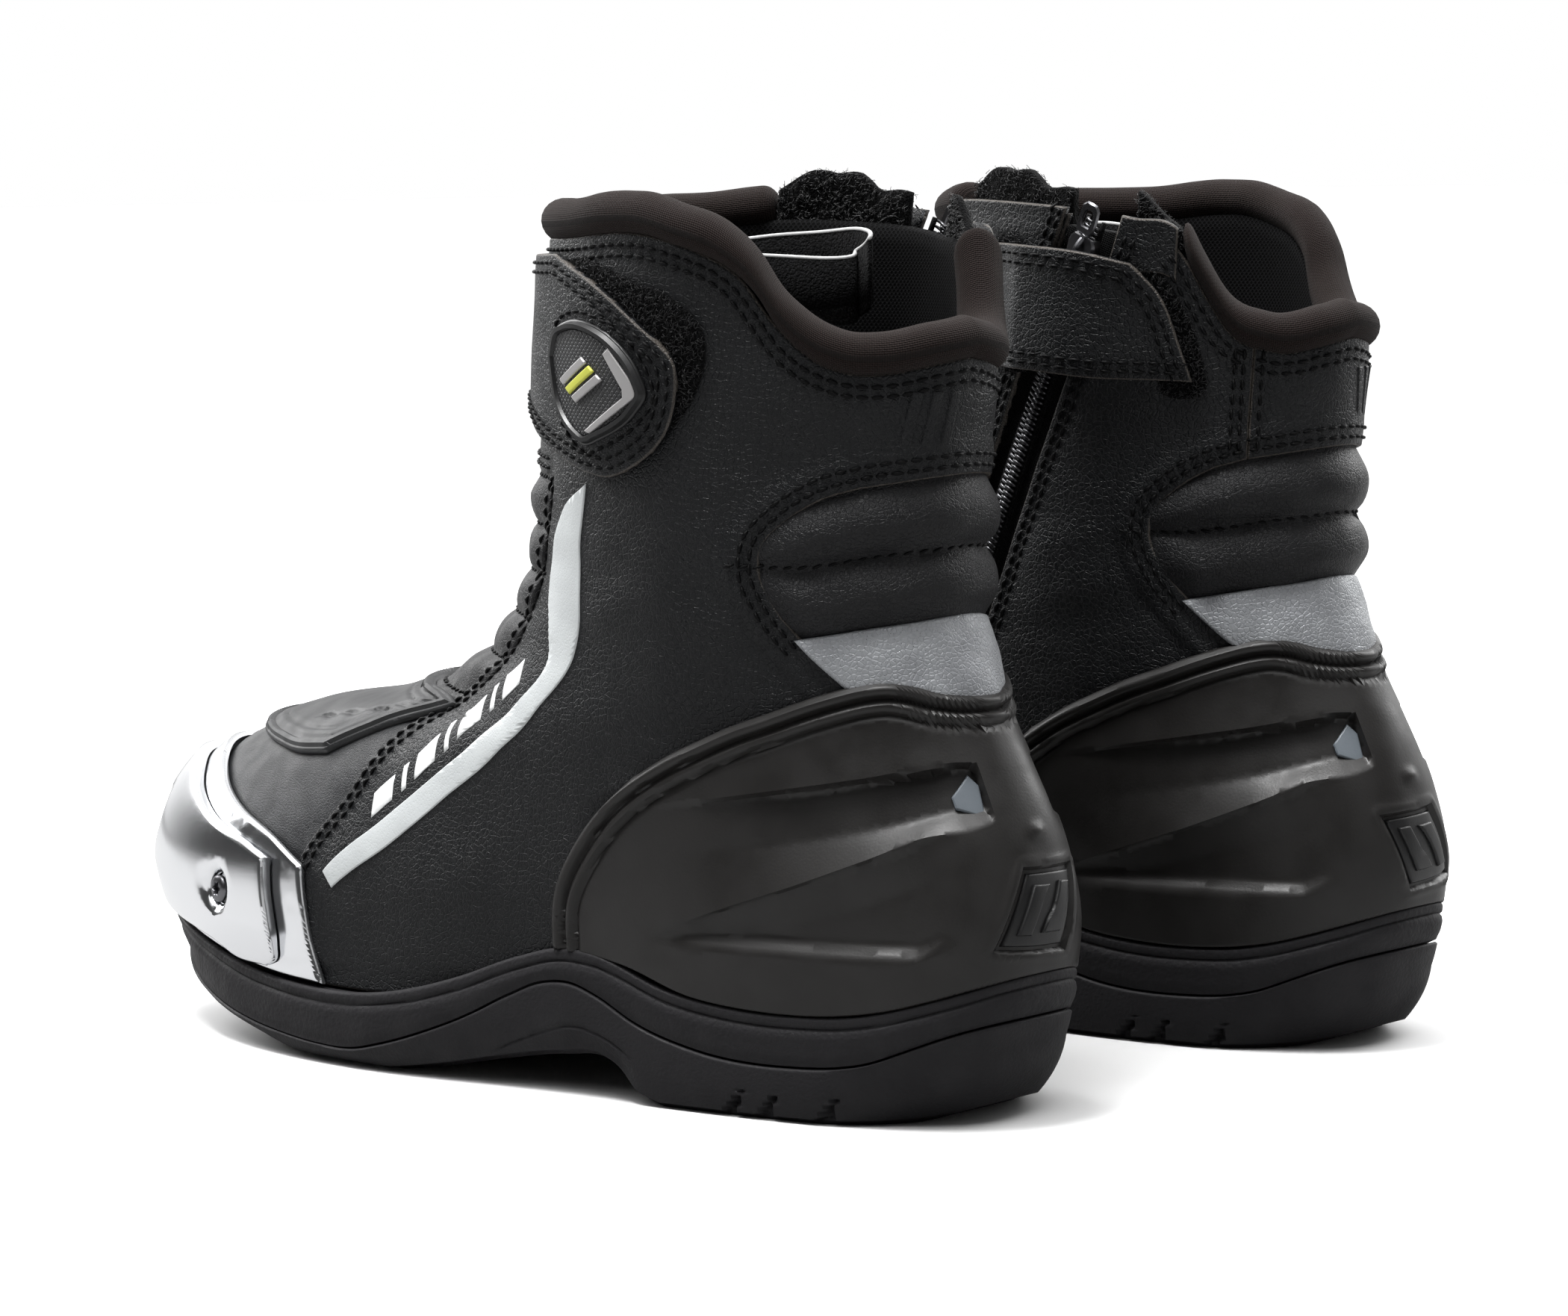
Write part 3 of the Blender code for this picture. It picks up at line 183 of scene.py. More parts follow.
def level(angle, height):
    """The v at which the skin has these heights, for angles in radians."""
    angle, height = np.broadcast_arrays(np.asarray(angle, float), np.asarray(height, float))
    share = ((1 - np.cos(angle)) / 2).ravel()
    z = FRONT_Z[None] + (BACK_Z - FRONT_Z)[None] * share[:, None]
    flat = height.ravel()
    i = np.clip((z < flat[:, None]).sum(1), 1, 400)
    row = np.arange(len(flat))
    s = (flat - z[row, i - 1]) / (z[row, i] - z[row, i - 1])
    return ((i - 1 + np.clip(s, 0, 1)) / 400).reshape(height.shape)


def at_side(y, z, side):
    """Angle in degrees and height of the skin point seen at (y, z) from one side."""
    front = spline(LEVELS, FRONT, V_TABLE)
    run = spline(LEVELS, BACK, V_TABLE) - front
    cross = run[:, 0] * (z - front[:, 1]) - run[:, 1] * (y - front[:, 0])
    i = int(np.argmax(cross <= 0)) if (cross <= 0).any() else len(cross) - 1
    share = ((y - front[i, 0]) * run[i, 0] + (z - front[i, 1]) * run[i, 1]) / (run[i] ** 2).sum()
    return side * degrees(np.arccos(np.clip(1 - 2 * share, -1, 1))), z


def rim(a, drop=0.0):
    """Height of the shaft's rim at an angle in degrees."""
    turned = (a + 180) % 360 - 180
    return float(along(RIM_OUTER if turned >= 0 else RIM_INNER, abs(turned))) - drop


def cup_top(a, drop=0.0):
    """Height of the heel cup's upper edge at an angle in degrees."""
    return float(along(CUP_TOP, abs((a + 180) % 360 - 180))) - drop


def sole_top(y):
    return along(SOLE_TOP, y)


def seat(y):
    return along(SEAT, y)


def groove(y):
    return along(GROOVE, y)


def ground(y):
    return np.maximum(0.0, along(GROUND, y))


def above(rule, a, rise):
    return float(rule(skin(radians(a), SOLE_V)[1])) + rise


def edge(rule, start, stop, amount, count=12):
    """A run of points along a height rule."""
    return [(a, rule(a, amount)) for a in np.linspace(start, stop, count)]


def seat_edge(a, rise):
    return above(seat, a, rise + 2.4 * max(0.0, cos(radians(a))) ** 4)


def top_edge(a, rise):
    return above(sole_top, a, rise + 3.2 * max(0.0, cos(radians(a))) ** 3)


def flipped(points):
    """The same points on the boot's other side, in the same order."""
    return [(-a, z) for a, z in points]


def mirrored(points):
    return flipped(points)[::-1]


def across(points):
    """The same points on the other side of the heel."""
    return [(360 - a, z) for a, z in points]


def smooth_run(points, spacing):
    """A run of (degrees, height) points as evenly spaced (radians, v) points."""
    points = np.asarray(points, float)
    flat = np.stack([np.radians(points[:, 0]), level(np.radians(points[:, 0]), points[:, 1])], 1)
    keys = np.concatenate([[0], np.cumsum(np.hypot(*(np.diff(flat, axis=0) * (1, 4)).T))])
    dense = spline(keys, flat, np.linspace(0, keys[-1], 30 * len(flat)))
    walk = arc(skin(*dense.T))
    at = np.linspace(0, walk[-1], max(1, round(walk[-1] / spacing)) + 1)
    return np.stack([np.interp(at, walk, dense[:, k]) for k in (0, 1)], 1)


def closed_loop(runs, spacing):
    loop = np.concatenate([smooth_run(run, spacing)[:-1] for run in runs])
    after = np.roll(loop, -1, axis=0)
    area = (loop[:, 0] * after[:, 1] - after[:, 0] * loop[:, 1]).sum()
    return loop if area > 0 else loop[::-1]


def closed(loop):
    """A loop with its first point again at the end."""
    return np.concatenate([loop, loop[:1]])


def shift(path, amount, looped=False):
    """Move a path of (radians, v) points sideways, to its left seen from outside, by millimetres."""
    points = skin(*path.T)
    turn, rise = slopes(*path.T)
    out = normal(*path.T)
    run = np.roll(points, -1, axis=0) - points
    if not looped:
        run[-1] = run[-2]
    run /= np.linalg.norm(run, axis=1, keepdims=True) + 1e-12
    before = np.roll(run, 1, axis=0)
    if not looped:
        before[0] = run[0]
    left = np.cross(out, run)
    way = left + np.cross(out, before)
    way /= np.maximum((way * left).sum(1), 0.35)[:, None]
    step = way * np.reshape(amount, (-1, 1))
    a = (turn * turn).sum(1)
    b = (turn * rise).sum(1)
    c = (rise * rise).sum(1)
    p = (turn * step).sum(1)
    q = (rise * step).sum(1)
    det = a * c - b * b
    moved = path + np.stack([(c * p - b * q) / det, (a * q - b * p) / det], 1)
    moved[:, 1] = np.clip(moved[:, 1], 0, 1)
    return moved


def inside(points, loop):
    """Which points lie inside a flat closed loop."""
    x, y = points[:, 0][:, None], points[:, 1][:, None]
    x0, y0 = loop[:, 0][None], loop[:, 1][None]
    x1, y1 = (c[None] for c in np.roll(loop, -1, axis=0).T)
    crosses = (y0 > y) != (y1 > y)
    rise = np.where(y1 == y0, 1e-12, y1 - y0)
    return (crosses & (x < (x1 - x0) * (y - y0) / rise + x0)).sum(1) % 2 == 1


def distance_to(points, path, closed=True):
    """Distance of each point from a polyline, in two or three dimensions."""
    ends = np.roll(path, -1, axis=0) if closed else path[1:]
    start = path if closed else path[:-1]
    run = ends - start
    size = np.maximum((run ** 2).sum(1), 1e-12)
    best = np.empty(len(points))
    for low in range(0, len(points), 3000):
        reach = points[low:low + 3000, None] - start[None]
        share = np.clip((reach * run[None]).sum(2) / size[None], 0, 1)
        best[low:low + 3000] = np.sqrt(((reach - share[..., None] * run[None]) ** 2).sum(2).min(1))
    return best


def smooth(low, high, x):
    s = np.clip((x - low) / (high - low), 0, 1)
    return s * s * (3 - 2 * s)


def lumps(points, size, seed=0.0, stretch=(1, 1, 1)):
    """Smooth noise of about -1..1 at points, with features of this size."""
    scaled = points * np.array(stretch) / size + seed
    return np.array([noise.noise(Vector(p)) for p in scaled]) * 1.6


# ---- a patch of the skin as a closed, finely meshed piece ----
def fill(rings, spacing, lines=(), extra=()):
    """Triangulate inside rings[0] and outside the other rings; returns (radians, v) points and faces."""
    outline = rings[0]
    turn, rise = slopes(*outline.T)
    scale = np.array([np.linalg.norm(turn, axis=1).mean(), np.linalg.norm(rise, axis=1).mean()])
    flat = outline * scale
    verts = []
    edges = []
    for ring in rings:
        first = len(verts)
        verts += list(ring * scale)
        edges += [(first + i, first + (i + 1) % len(ring)) for i in range(len(ring))]
    for line in lines:
        path = line * scale
        path = path[inside(path, flat) & (distance_to(path, flat) > spacing * 0.25)]
        first = len(verts)
        verts += list(path)
        edges += [(first + i, first + i + 1) for i in range(len(path) - 1)]
    low = flat.min(0)
    high = flat.max(0)
    rows = np.arange(low[1], high[1], spacing * 0.87)
    grid = np.array([(x + (k % 2) * spacing / 2, y) for k, y in enumerate(rows)
                     for x in np.arange(low[0], high[0], spacing)]).reshape(-1, 2)
    keep = inside(grid, flat)
    grid = grid[keep]
    clear = np.full(len(grid), 1e9)
    for ring in rings:
        clear = np.minimum(clear, distance_to(grid, ring * scale))
    for points in list(lines) + list(extra):
        clear = np.minimum(clear, distance_to(grid, points * scale, False))
    for hole in rings[1:]:
        clear[inside(grid, hole * scale)] = 0
    verts += list(grid[clear > spacing * 0.55])
    for points in extra:
        more = points * scale
        good = inside(more, flat) & (distance_to(more, flat) > 0.15)
        for hole in rings[1:]:
            good &= ~inside(more, hole * scale)
        verts += list(more[good])
    found = delaunay_2d_cdt([Vector(p) for p in verts], edges, [], 0, 1e-4)
    flat_out = np.array([tuple(p) for p in found[0]])
    faces = np.array([face for face in found[2] if len(face) == 3])
    centres = flat_out[faces].mean(1)
    wanted = inside(centres, flat)
    for hole in rings[1:]:
        wanted &= ~inside(centres, hole * scale)
    faces = faces[wanted]
    used = np.unique(faces)
    renumber = np.zeros(len(flat_out), int)
    renumber[used] = np.arange(len(used))
    return flat_out[used] / scale, renumber[faces]


def patch(runs, inner, outer, spacing=3.0, gap=0.0, step=2.0, bevel=0.8, holes=(), lines=(), rings=None):
    """A closed piece between two distances from the skin, with rounded edges.

    outer is a number or a function of (points, edge distance, angle, v). The piece carries the distance of
    each point from its edge as the attribute "edge", in millimetres.
    """
    loop = closed_loop(runs, step) if isinstance(runs, list) else runs
    if gap:
        loop = shift(loop, gap, True)
    loops = [loop, *holes]
    insets = [bevel * s for s in (0.3, 0.7, 1.15)] if rings is None else rings
    extra = [shift(ring, -amount if k else amount, True) for k, ring in enumerate(loops) for amount in insets]
    spots, faces = fill(loops, spacing, lines, extra)
    angle, v = spots.T
    base = skin(angle, v)
    near = np.full(len(base), 1e9)
    for ring in loops:
        near = np.minimum(near, distance_to(base, skin(*ring.T)))
    out = outer(base, near, angle, v) if callable(outer) else np.full(len(base), float(outer))
    turned = np.clip(near / bevel, 0, 1)
    out = out - bevel * (1 - np.sqrt(np.clip(1 - (1 - turned) ** 2, 0, 1)))
    front = surface(angle, v, out)
    back_spots, back_faces = fill(loops, max(spacing * 2.5, 7.0))
    deep = inner(back_spots[:, 0], back_spots[:, 1]) if callable(inner) else inner
    back = surface(*back_spots.T, deep)
    directed = {(f[i], f[(i + 1) % 3]) for f in faces.tolist() for i in range(3)}
    border = [(a, b) for a, b in directed if (b, a) not in directed]
    ids = sorted({i for pair in border for i in pair})
    where = {old: len(front) + len(back) + k for k, old in enumerate(ids)}
    deep = inner(angle[ids], v[ids]) if callable(inner) else inner
    wall = surface(angle[ids], v[ids], deep)
    solid = [tuple(f) for f in faces.tolist()]
    solid += [tuple(i + len(front) for i in reversed(f)) for f in back_faces.tolist()]
    solid += [(b, a, where[a], where[b]) for a, b in border]
    edges = np.concatenate([near, np.full(len(back), 9.0), np.zeros(len(wall))])
    return {"verts": np.concatenate([front, back, wall]), "faces": solid, "edge": edges}


# ---- other shapes ----
def grid_faces(rows, columns, closed=True):
    faces = []
    for k in range(rows - 1):
        for i in range(columns if closed else columns - 1):
            j = (i + 1) % columns
            faces.append((k * columns + i, k * columns + j, (k + 1) * columns + j, (k + 1) * columns + i))
    return faces


def closed_tube(rows, sides, outward=True):
    """Faces of a tube of rows of points, with both ends closed."""
    faces = grid_faces(rows, sides)
    faces += [tuple(reversed(range(sides))), tuple((rows - 1) * sides + i for i in range(sides))]
    return faces if outward else [tuple(reversed(f)) for f in faces]


def tube(path, radius, sides=8, flat=1.0):
    """A round cord along a path, with closed ends; radius may vary along it."""
    path = np.asarray(path, float)
    radius = np.broadcast_to(radius, (len(path),))
    run = np.gradient(path, axis=0)
    run /= np.linalg.norm(run, axis=1, keepdims=True)
    side = np.cross(run[0], (0.1, 0.2, 1.0))
    points = []
    for p, t, r in zip(path, run, radius):
        side = side - t * side.dot(t)
        side /= np.linalg.norm(side)
        other = np.cross(t, side)
        for k in range(sides):
            a = 2 * pi * k / sides
            points.append(p + r * (side * cos(a) + other * sin(a) * flat))
    return {"verts": np.array(points), "faces": closed_tube(len(path), sides)}


def joined(shapes):
    """Several shapes as one."""
    verts = []
    faces = []
    count = 0
    for shape in shapes:
        verts.append(shape["verts"])
        faces += [tuple(i + count for i in f) for f in shape["faces"]]
        count += len(shape["verts"])
    return {"verts": np.concatenate(verts), "faces": faces}


def tree_of(*shapes):
    whole = joined(shapes)
    return BVHTree.FromPolygons([Vector(p) for p in whole["verts"]], whole["faces"])


def drop_on(tree, spots):
    """Where a line from outside, square to the skin, first meets a tree of shapes."""
    start = 16.0
    points = surface(*spots.T, start)
    out = normal(*spots.T)
    landed = []
    for p, n in zip(points, out):
        hit = tree.ray_cast(Vector(p), Vector(-n), start + 8.0)[0]
        landed.append(np.array(hit) if hit is not None else p - n * (start - 2.0))
    return np.array(landed), out


def stitches(paths, tree, length=2.9, space=0.7, radius=0.5, twist=0.0):
    """Rows of stitches laid on a tree of shapes along paths of (radians, v) points."""
    rings = 5
    sides = 6
    shapes = []
    for path in paths:
        line = skin(*path.T)
        walk = arc(line)
        pitch = length + space
        count = max(1, int(walk[-1] / pitch))
        at = (np.arange(count) + 0.5) * walk[-1] / count
        ends = []
        for move in (-length / 2, 0.0, length / 2):
            spots = np.stack([np.interp(at + move, walk, path[:, k]) for k in (0, 1)], 1)
            ends.append(drop_on(tree, spots))
        (a, _), (m, out), (b, _) = ends
        run = b - a
        run /= np.linalg.norm(run, axis=1, keepdims=True) + 1e-9
        side = np.cross(out, run)
        run = run + side * twist
        share = np.linspace(-1, 1, rings)
        verts = []
        for s in share:
            centre = np.where(s < 0, 1, 0) * (m + (a - m) * -s) + np.where(s < 0, 0, 1) * (m + (b - m) * s)
            centre = centre + side * twist * s * length / 2
            lift = radius * (0.75 - 1.15 * s * s)
            thick = radius * (1 - 0.45 * s * s)
            for k in range(sides):
                w = 2 * pi * k / sides
                verts.append(centre + out * (lift + thick * sin(w)) + side * thick * cos(w))
        verts = np.stack(verts, 1)
        base = closed_tube(rings, sides)
        size = rings * sides
        faces = [tuple(i + n * size for i in f) for n in range(count) for f in base]
        shapes.append({"verts": verts.reshape(-1, 3), "faces": faces})
    return joined(shapes)


def offset_rows(run, amounts):
    """Paths beside a run of (degrees, height) points; a positive amount is to its left from outside."""
    path = smooth_run(run, 1.5)
    return [shift(path, amount) for amount in amounts]


# ---- writing pieces out ----
def emit(name, shape, finish, body="boot", replaces=(), crease=None):
    """Write a shape out as a left and a mirrored right piece."""
    for word, side in SIDES:
        move = np.array([side * PITCH / 2, CENTRE_Y - side * STAGGER / 2, 0])
        verts = (shape["verts"] * (side, 1, 1) + move) / 1000
        faces = shape["faces"] if side > 0 else [tuple(reversed(f)) for f in shape["faces"]]
        mesh = bpy.data.meshes.new(f"{word}_{name}_look")
        mesh.from_pydata(verts.tolist(), [], faces)
        if "edge" in shape:
            stored = mesh.attributes.new("edge", "FLOAT", "POINT")
            stored.data.foreach_set("value", np.asarray(shape["edge"], np.float32))
        if "uv" in shape:
            layer = mesh.uv_layers.new(name="UVMap")
            loops = np.empty(len(mesh.loops), np.int32)
            mesh.loops.foreach_get("vertex_index", loops)
            layer.data.foreach_set("uv", np.asarray(shape["uv"], np.float32)[loops].ravel())
        work = bmesh.new()
        work.from_mesh(mesh)
        bmesh.ops.remove_doubles(work, verts=work.verts, dist=2e-6)
        work.to_mesh(mesh)
        work.free()
        mesh.shade_smooth()
        if crease:
            mesh.set_sharp_from_angle(angle=radians(crease))
        mesh.materials.append(finish)
        obj = bpy.data.objects.new(f"{word}_{name}_look", mesh)
        bpy.context.collection.objects.link(obj)
        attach(obj, f"{word}_{body}")
        if replaces:
            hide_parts(*[f"{word}_{node}" for node in replaces])


# ---- materials ----
def tint(base, amount):
    return tuple(c * amount for c in base)


class Shader:
    """A Principled material and short calls that add nodes to it."""

    def __init__(self, name, base=(0.5, 0.5, 0.5), roughness=0.5, metallic=0.0, **sockets):
        self.material = bpy.data.materials.new(name)
        self.material.use_nodes = True
        self.tree = self.material.node_tree
        self.shader = self.tree.nodes["Principled BSDF"]
        self.set("Base Color", (*base, 1))
        self.set("Roughness", roughness)
        self.set("Metallic", metallic)
        for key, value in sockets.items():
            self.set(key.replace("_", " "), value)
        self.coords = self.node("ShaderNodeTexCoord").outputs["Object"]
        self.bumps = None

    def set(self, socket, value):
        if isinstance(value, bpy.types.NodeSocket):
            self.tree.links.new(value, self.shader.inputs[socket])
        else:
            self.shader.inputs[socket].default_value = value

    def node(self, kind, inputs=(), **settings):
        made = self.tree.nodes.new(kind)
        for key, value in settings.items():
            setattr(made, key, value)
        for key, value in dict(inputs).items():
            socket = made.inputs[key]
            if isinstance(value, bpy.types.NodeSocket):
                self.tree.links.new(value, socket)
            else:
                socket.default_value = value
        return made

    def stretched(self, scale, turn=(0, 0, 0)):
        return self.node("ShaderNodeMapping", {"Vector": self.coords, "Scale": scale,
                                               "Rotation": turn}).outputs[0]

    def noise(self, scale, detail=3.0, vector=None):
        return self.node("ShaderNodeTexNoise", {"Vector": vector or self.coords, "Scale": scale,
                                                "Detail": detail}).outputs["Fac"]

    def cells(self, scale, feature="DISTANCE_TO_EDGE"):
        return self.node("ShaderNodeTexVoronoi", {"Vector": self.coords, "Scale": scale},
                         feature=feature).outputs["Distance"]

    def ramp(self, value, low, high, out_low=0.0, out_high=1.0):
        return self.node("ShaderNodeMapRange", {"Value": value, "From Min": low, "From Max": high,
                                                "To Min": out_low, "To Max": out_high},
                         interpolation_type="SMOOTHSTEP").outputs["Result"]

    def math(self, kind, a, b=0.0):
        return self.node("ShaderNodeMath", {0: a, 1: b}, operation=kind).outputs[0]

    def mix(self, factor, a, b):
        made = self.node("ShaderNodeMix", data_type="RGBA")
        for key, value in ((0, factor), (6, a), (7, b)):
            if isinstance(value, bpy.types.NodeSocket):
                self.tree.links.new(value, made.inputs[key])
            else:
                made.inputs[key].default_value = (*value, 1) if key else value
        return made.outputs[2]

    def slanted(self, vector, first, second, turn):
        """Two waves that cross, one along each diagonal of two coordinates."""
        apart = self.node("ShaderNodeSeparateXYZ", {0: vector}).outputs
        return [self.math("SINE", self.math("MULTIPLY", self.math(kind, apart[first], apart[second]), turn))
                for kind in ("ADD", "SUBTRACT")]

    def attribute(self, name):
        return self.node("ShaderNodeAttribute", attribute_name=name).outputs["Fac"]

    def bump(self, height, millimetres, strength=1.0):
        inputs = {"Height": height, "Distance": millimetres / 1000, "Strength": strength}
        if self.bumps:
            inputs["Normal"] = self.bumps
        self.bumps = self.node("ShaderNodeBump", inputs).outputs["Normal"]
        self.set("Normal", self.bumps)


def leather(name, base, roughness, grain=640.0, depth=0.2, spread=0.3, raw=(0.07, 0.062, 0.055),
            raw_width=0.0, crease=0.5):
    """Leather with pebbled grain, soft creases and uneven finish; raw_width gives it a raw cut edge."""
    s = Shader(name, base, roughness, IOR=1.48, Specular_IOR_Level=0.27)
    patchy = s.noise(45.0, 4.0)
    colour = s.mix(patchy, tint(base, 1 - spread), tint(base, 1 + spread))
    if raw_width:
        worn = s.math("ADD", s.attribute("edge"), s.math("MULTIPLY", s.noise(420.0, 2.0), 0.35))
        colour = s.mix(s.ramp(worn, raw_width, raw_width + 0.35), raw, colour)
    s.set("Base Color", colour)
    s.set("Roughness", s.ramp(s.noise(130.0, 5.0), 0.3, 0.7, roughness - 0.07, roughness + 0.08))
    pebbles = s.ramp(s.cells(grain), 0.0, 0.16)
    fine = s.ramp(s.cells(grain * 2.3), 0.0, 0.2)
    s.bump(s.math("ADD", pebbles, s.math("MULTIPLY", fine, 0.4)), depth, 0.75)
    folds = s.noise(26.0, 3.0, s.stretched((1.0, 1.0, 2.6)))
    s.bump(s.noise(95.0, 4.0), 0.5 * crease, 0.6)
    s.bump(folds, 1.6 * crease, 0.6)
    return s.material


def knurled(name, base, pitch=0.0012):
    """Moulded rubber with a fine net of raised diamonds, seen from the side of the boot, with painted shade
    in the grooves and a painted highlight on the diamonds.
    """
    s = Shader(name, base, 0.45, Specular_IOR_Level=0.4)
    net = s.math("ABSOLUTE", s.math("MULTIPLY", *s.slanted(s.coords, "Y", "Z", pi / (pitch * 1.414))))
    # Painted shade and highlight: the colour follows the raised net, dark in the grooves and light on the
    # diamonds.
    s.set("Base Color", s.mix(s.ramp(net, 0.05, 0.5), tint(base, 0.3), tint(base, 2.0)))
    s.bump(s.ramp(net, 0.0, 0.5), 0.3, 1.0)
    return s.material


def plastic(name, base, roughness, speck=1500.0, depth=0.05, **more):
    """Moulded or printed surface, slightly uneven in colour and gloss."""
    s = Shader(name, base, roughness, **more)
    s.set("Base Color", s.mix(s.noise(30.0, 4.0), tint(base, 0.8), tint(base, 1.2)))
    s.set("Roughness", s.ramp(s.noise(90.0, 5.0), 0.3, 0.7, roughness - 0.06, roughness + 0.08))
    s.bump(s.noise(speck, 2.0), depth, 0.8)
    return s.material


def metal(name, base, roughness, smudge=0.05):
    """Polished metal with smudges and a faint drawn grain."""
    s = Shader(name, base, roughness, 1.0)
    s.set("Roughness", s.ramp(s.noise(55.0, 6.0), 0.35, 0.75, roughness, roughness + smudge))
    s.bump(s.noise(60.0, 2.0), 0.08, 0.3)
    fine = s.noise(900.0, 2.0, s.stretched((1.0, 0.08, 1.0), (0.0, 0.0, 0.5)))
    s.bump(fine, 0.01, 0.4)
    return s.material


def fuzzy(name, base, scale=1400.0, depth=0.5):
    """Napped or looped cloth."""
    s = Shader(name, base, 0.95, Sheen_Weight=0.03, Sheen_Roughness=0.4, Specular_IOR_Level=0.1)
    tufts = s.cells(scale, "F1")
    s.set("Base Color", s.mix(s.ramp(tufts, 0.15, 0.6), tint(base, 2.6), tint(base, 0.5)))
    s.bump(s.math("ADD", tufts, s.noise(scale * 1.7, 3.0)), depth, 1.0)
    return s.material


def silver(name):
    """Retroreflective cloth: a fine regular net of beads under a satin film."""
    s = Shader(name, (0.75, 0.77, 0.77), 0.42)
    s.set("Base Color", s.mix(s.noise(60.0, 5.0), (0.5, 0.52, 0.53), (0.66, 0.69, 0.69)))
    s.set("Roughness", s.ramp(s.noise(200.0, 4.0), 0.3, 0.7, 0.3, 0.46))
    s.bump(s.ramp(s.cells(1500.0, "F1"), 0.0, 0.6), 0.05, 0.6)
    s.bump(s.noise(70.0, 3.0), 0.7, 0.5)
    return s.material


def sparkle_leather(name):
    """Silver-grey coated leather with glints in its grain."""
    s = Shader(name, (0.2, 0.21, 0.22), 0.42, 0.25)
    s.set("Base Color", s.mix(s.noise(70.0, 4.0), (0.19, 0.195, 0.21), (0.4, 0.415, 0.43)))
    glint = s.ramp(s.cells(1300.0, "F1"), 0.06, 0.2, 1.0, 0.0)
    s.set("Metallic", s.ramp(glint, 0.0, 1.0, 0.2, 0.95))
    s.set("Roughness", s.ramp(glint, 0.0, 1.0, 0.48, 0.22))
    s.bump(s.ramp(s.cells(800.0), 0.0, 0.18), 0.14, 0.8)
    s.bump(s.noise(110.0, 4.0), 0.7, 0.6)
    return s.material


def knit(name, base, depth=0.16):
    """Slanted knit with painted shade between the stitches and a painted highlight on them: the UV runs along
    the roll in u and round it in v, in millimetres.
    """
    s = Shader(name, base, 0.9, Sheen_Weight=0.03, Sheen_Roughness=0.5, Specular_IOR_Level=0.15)
    uv = s.node("ShaderNodeUVMap", uv_map="UVMap").outputs["UV"]
    one, two = s.slanted(uv, "X", "Y", 2 * pi / 1.1)
    yarn = s.math("ADD", s.math("MULTIPLY", one, two), s.math("MULTIPLY", one, 0.25))
    # Painted shade and highlight: the colour follows the yarn's relief, dark in the hollows between stitches
    # and light on their crowns.
    s.set("Base Color", s.mix(s.ramp(yarn, -0.8, 0.8), tint(base, 0.5), tint(base, 1.6)))
    s.bump(yarn, depth, 0.8)
    s.bump(s.noise(700.0, 3.0), 0.08, 0.6)
    s.bump(s.noise(60.0, 3.0), 0.8, 0.35)
    return s.material


def mesh_cloth(name, base, pitch=1.6):
    """Spacer mesh: round holes on a slanted net, in the UV's millimetres, with the holes painted dark as
    shade and the net painted lighter.
    """
    s = Shader(name, base, 0.85, Specular_IOR_Level=0.08)
    uv = s.node("ShaderNodeUVMap", uv_map="UVMap").outputs["UV"]
    holes = s.math("ABSOLUTE", s.math("MULTIPLY", *s.slanted(uv, "X", "Y", pi / pitch)))
    # Painted shade: the openings are coloured dark and the raised net between them lighter, following the
    # relief.
    s.set("Base Color", s.mix(s.ramp(holes, 0.25, 0.6), tint(base, 2.2), tint(base, 0.2)))
    s.bump(s.ramp(holes, 0.25, 0.7, 1.0, 0.0), 0.45, 0.9)
    s.bump(s.noise(45.0, 3.0), 1.2, 0.4)
    return s.material


BLACK = (0.0062, 0.0066, 0.0076)
M_LEATHER = leather("grain_leather", BLACK, 0.44)
M_EDGED = leather("grain_leather_raw_edge", BLACK, 0.44, raw_width=0.4)
M_VAMP = leather("smooth_leather", (0.0125, 0.013, 0.0145), 0.42, grain=1300.0, depth=0.08, crease=0.35)
M_RIB = leather("soft_leather", (0.0092, 0.0092, 0.0102), 0.47, grain=800.0, depth=0.16, crease=1.0)
M_BACKING = fuzzy("backing_cloth", (0.003, 0.003, 0.0033), 1800.0, 0.15)
M_RUBBER = plastic("sole_rubber", (0.0115, 0.0108, 0.0125), 0.62, 1100.0, 0.22, Specular_IOR_Level=0.3)
M_PAD = plastic("pad_rubber", (0.012, 0.0125, 0.0135), 0.52, 1700.0, 0.05, Specular_IOR_Level=0.32)
M_CUP = plastic("moulded_plastic", (0.0135, 0.0125, 0.012), 0.42, 1500.0, 0.04, Specular_IOR_Level=0.36)
M_BADGE = plastic("badge_rubber", (0.009, 0.009, 0.0095), 0.38, 1700.0, 0.03, Specular_IOR_Level=0.4)
M_KNURL = knurled("knurled_rubber", (0.012, 0.012, 0.013))
M_GREY = plastic("grey_plastic", (0.13, 0.15, 0.17), 0.4, 900.0, 0.05)
M_PALE = plastic("silver_print", (0.42, 0.41, 0.41), 0.35, 1500.0, 0.02, Metallic=0.4)
M_WHITE = plastic("white_print", (0.8, 0.81, 0.81), 0.5, 900.0, 0.05)
M_LIME = plastic("lime_print", (0.6, 0.62, 0.08), 0.45, 1500.0, 0.02)
M_CHROME = metal("polished_metal", (0.8, 0.81, 0.83), 0.15, 0.05)
M_STEEL = metal("dark_steel", (0.16, 0.16, 0.17), 0.26, 0.12)
M_TEETH = metal("zip_metal", (0.1, 0.1, 0.105), 0.28, 0.1)
M_SILVER = silver("reflective_cloth")
M_SPARKLE = sparkle_leather("sparkle_leather")
M_KNIT = knit("collar_knit", (0.012, 0.0078, 0.0068))
M_MESH = mesh_cloth("lining_mesh", (0.0022, 0.0022, 0.0024))
M_MIDSOLE = plastic("midsole_rubber", (0.0115, 0.0108, 0.0125), 0.64, 800.0, 0.32, Specular_IOR_Level=0.3)
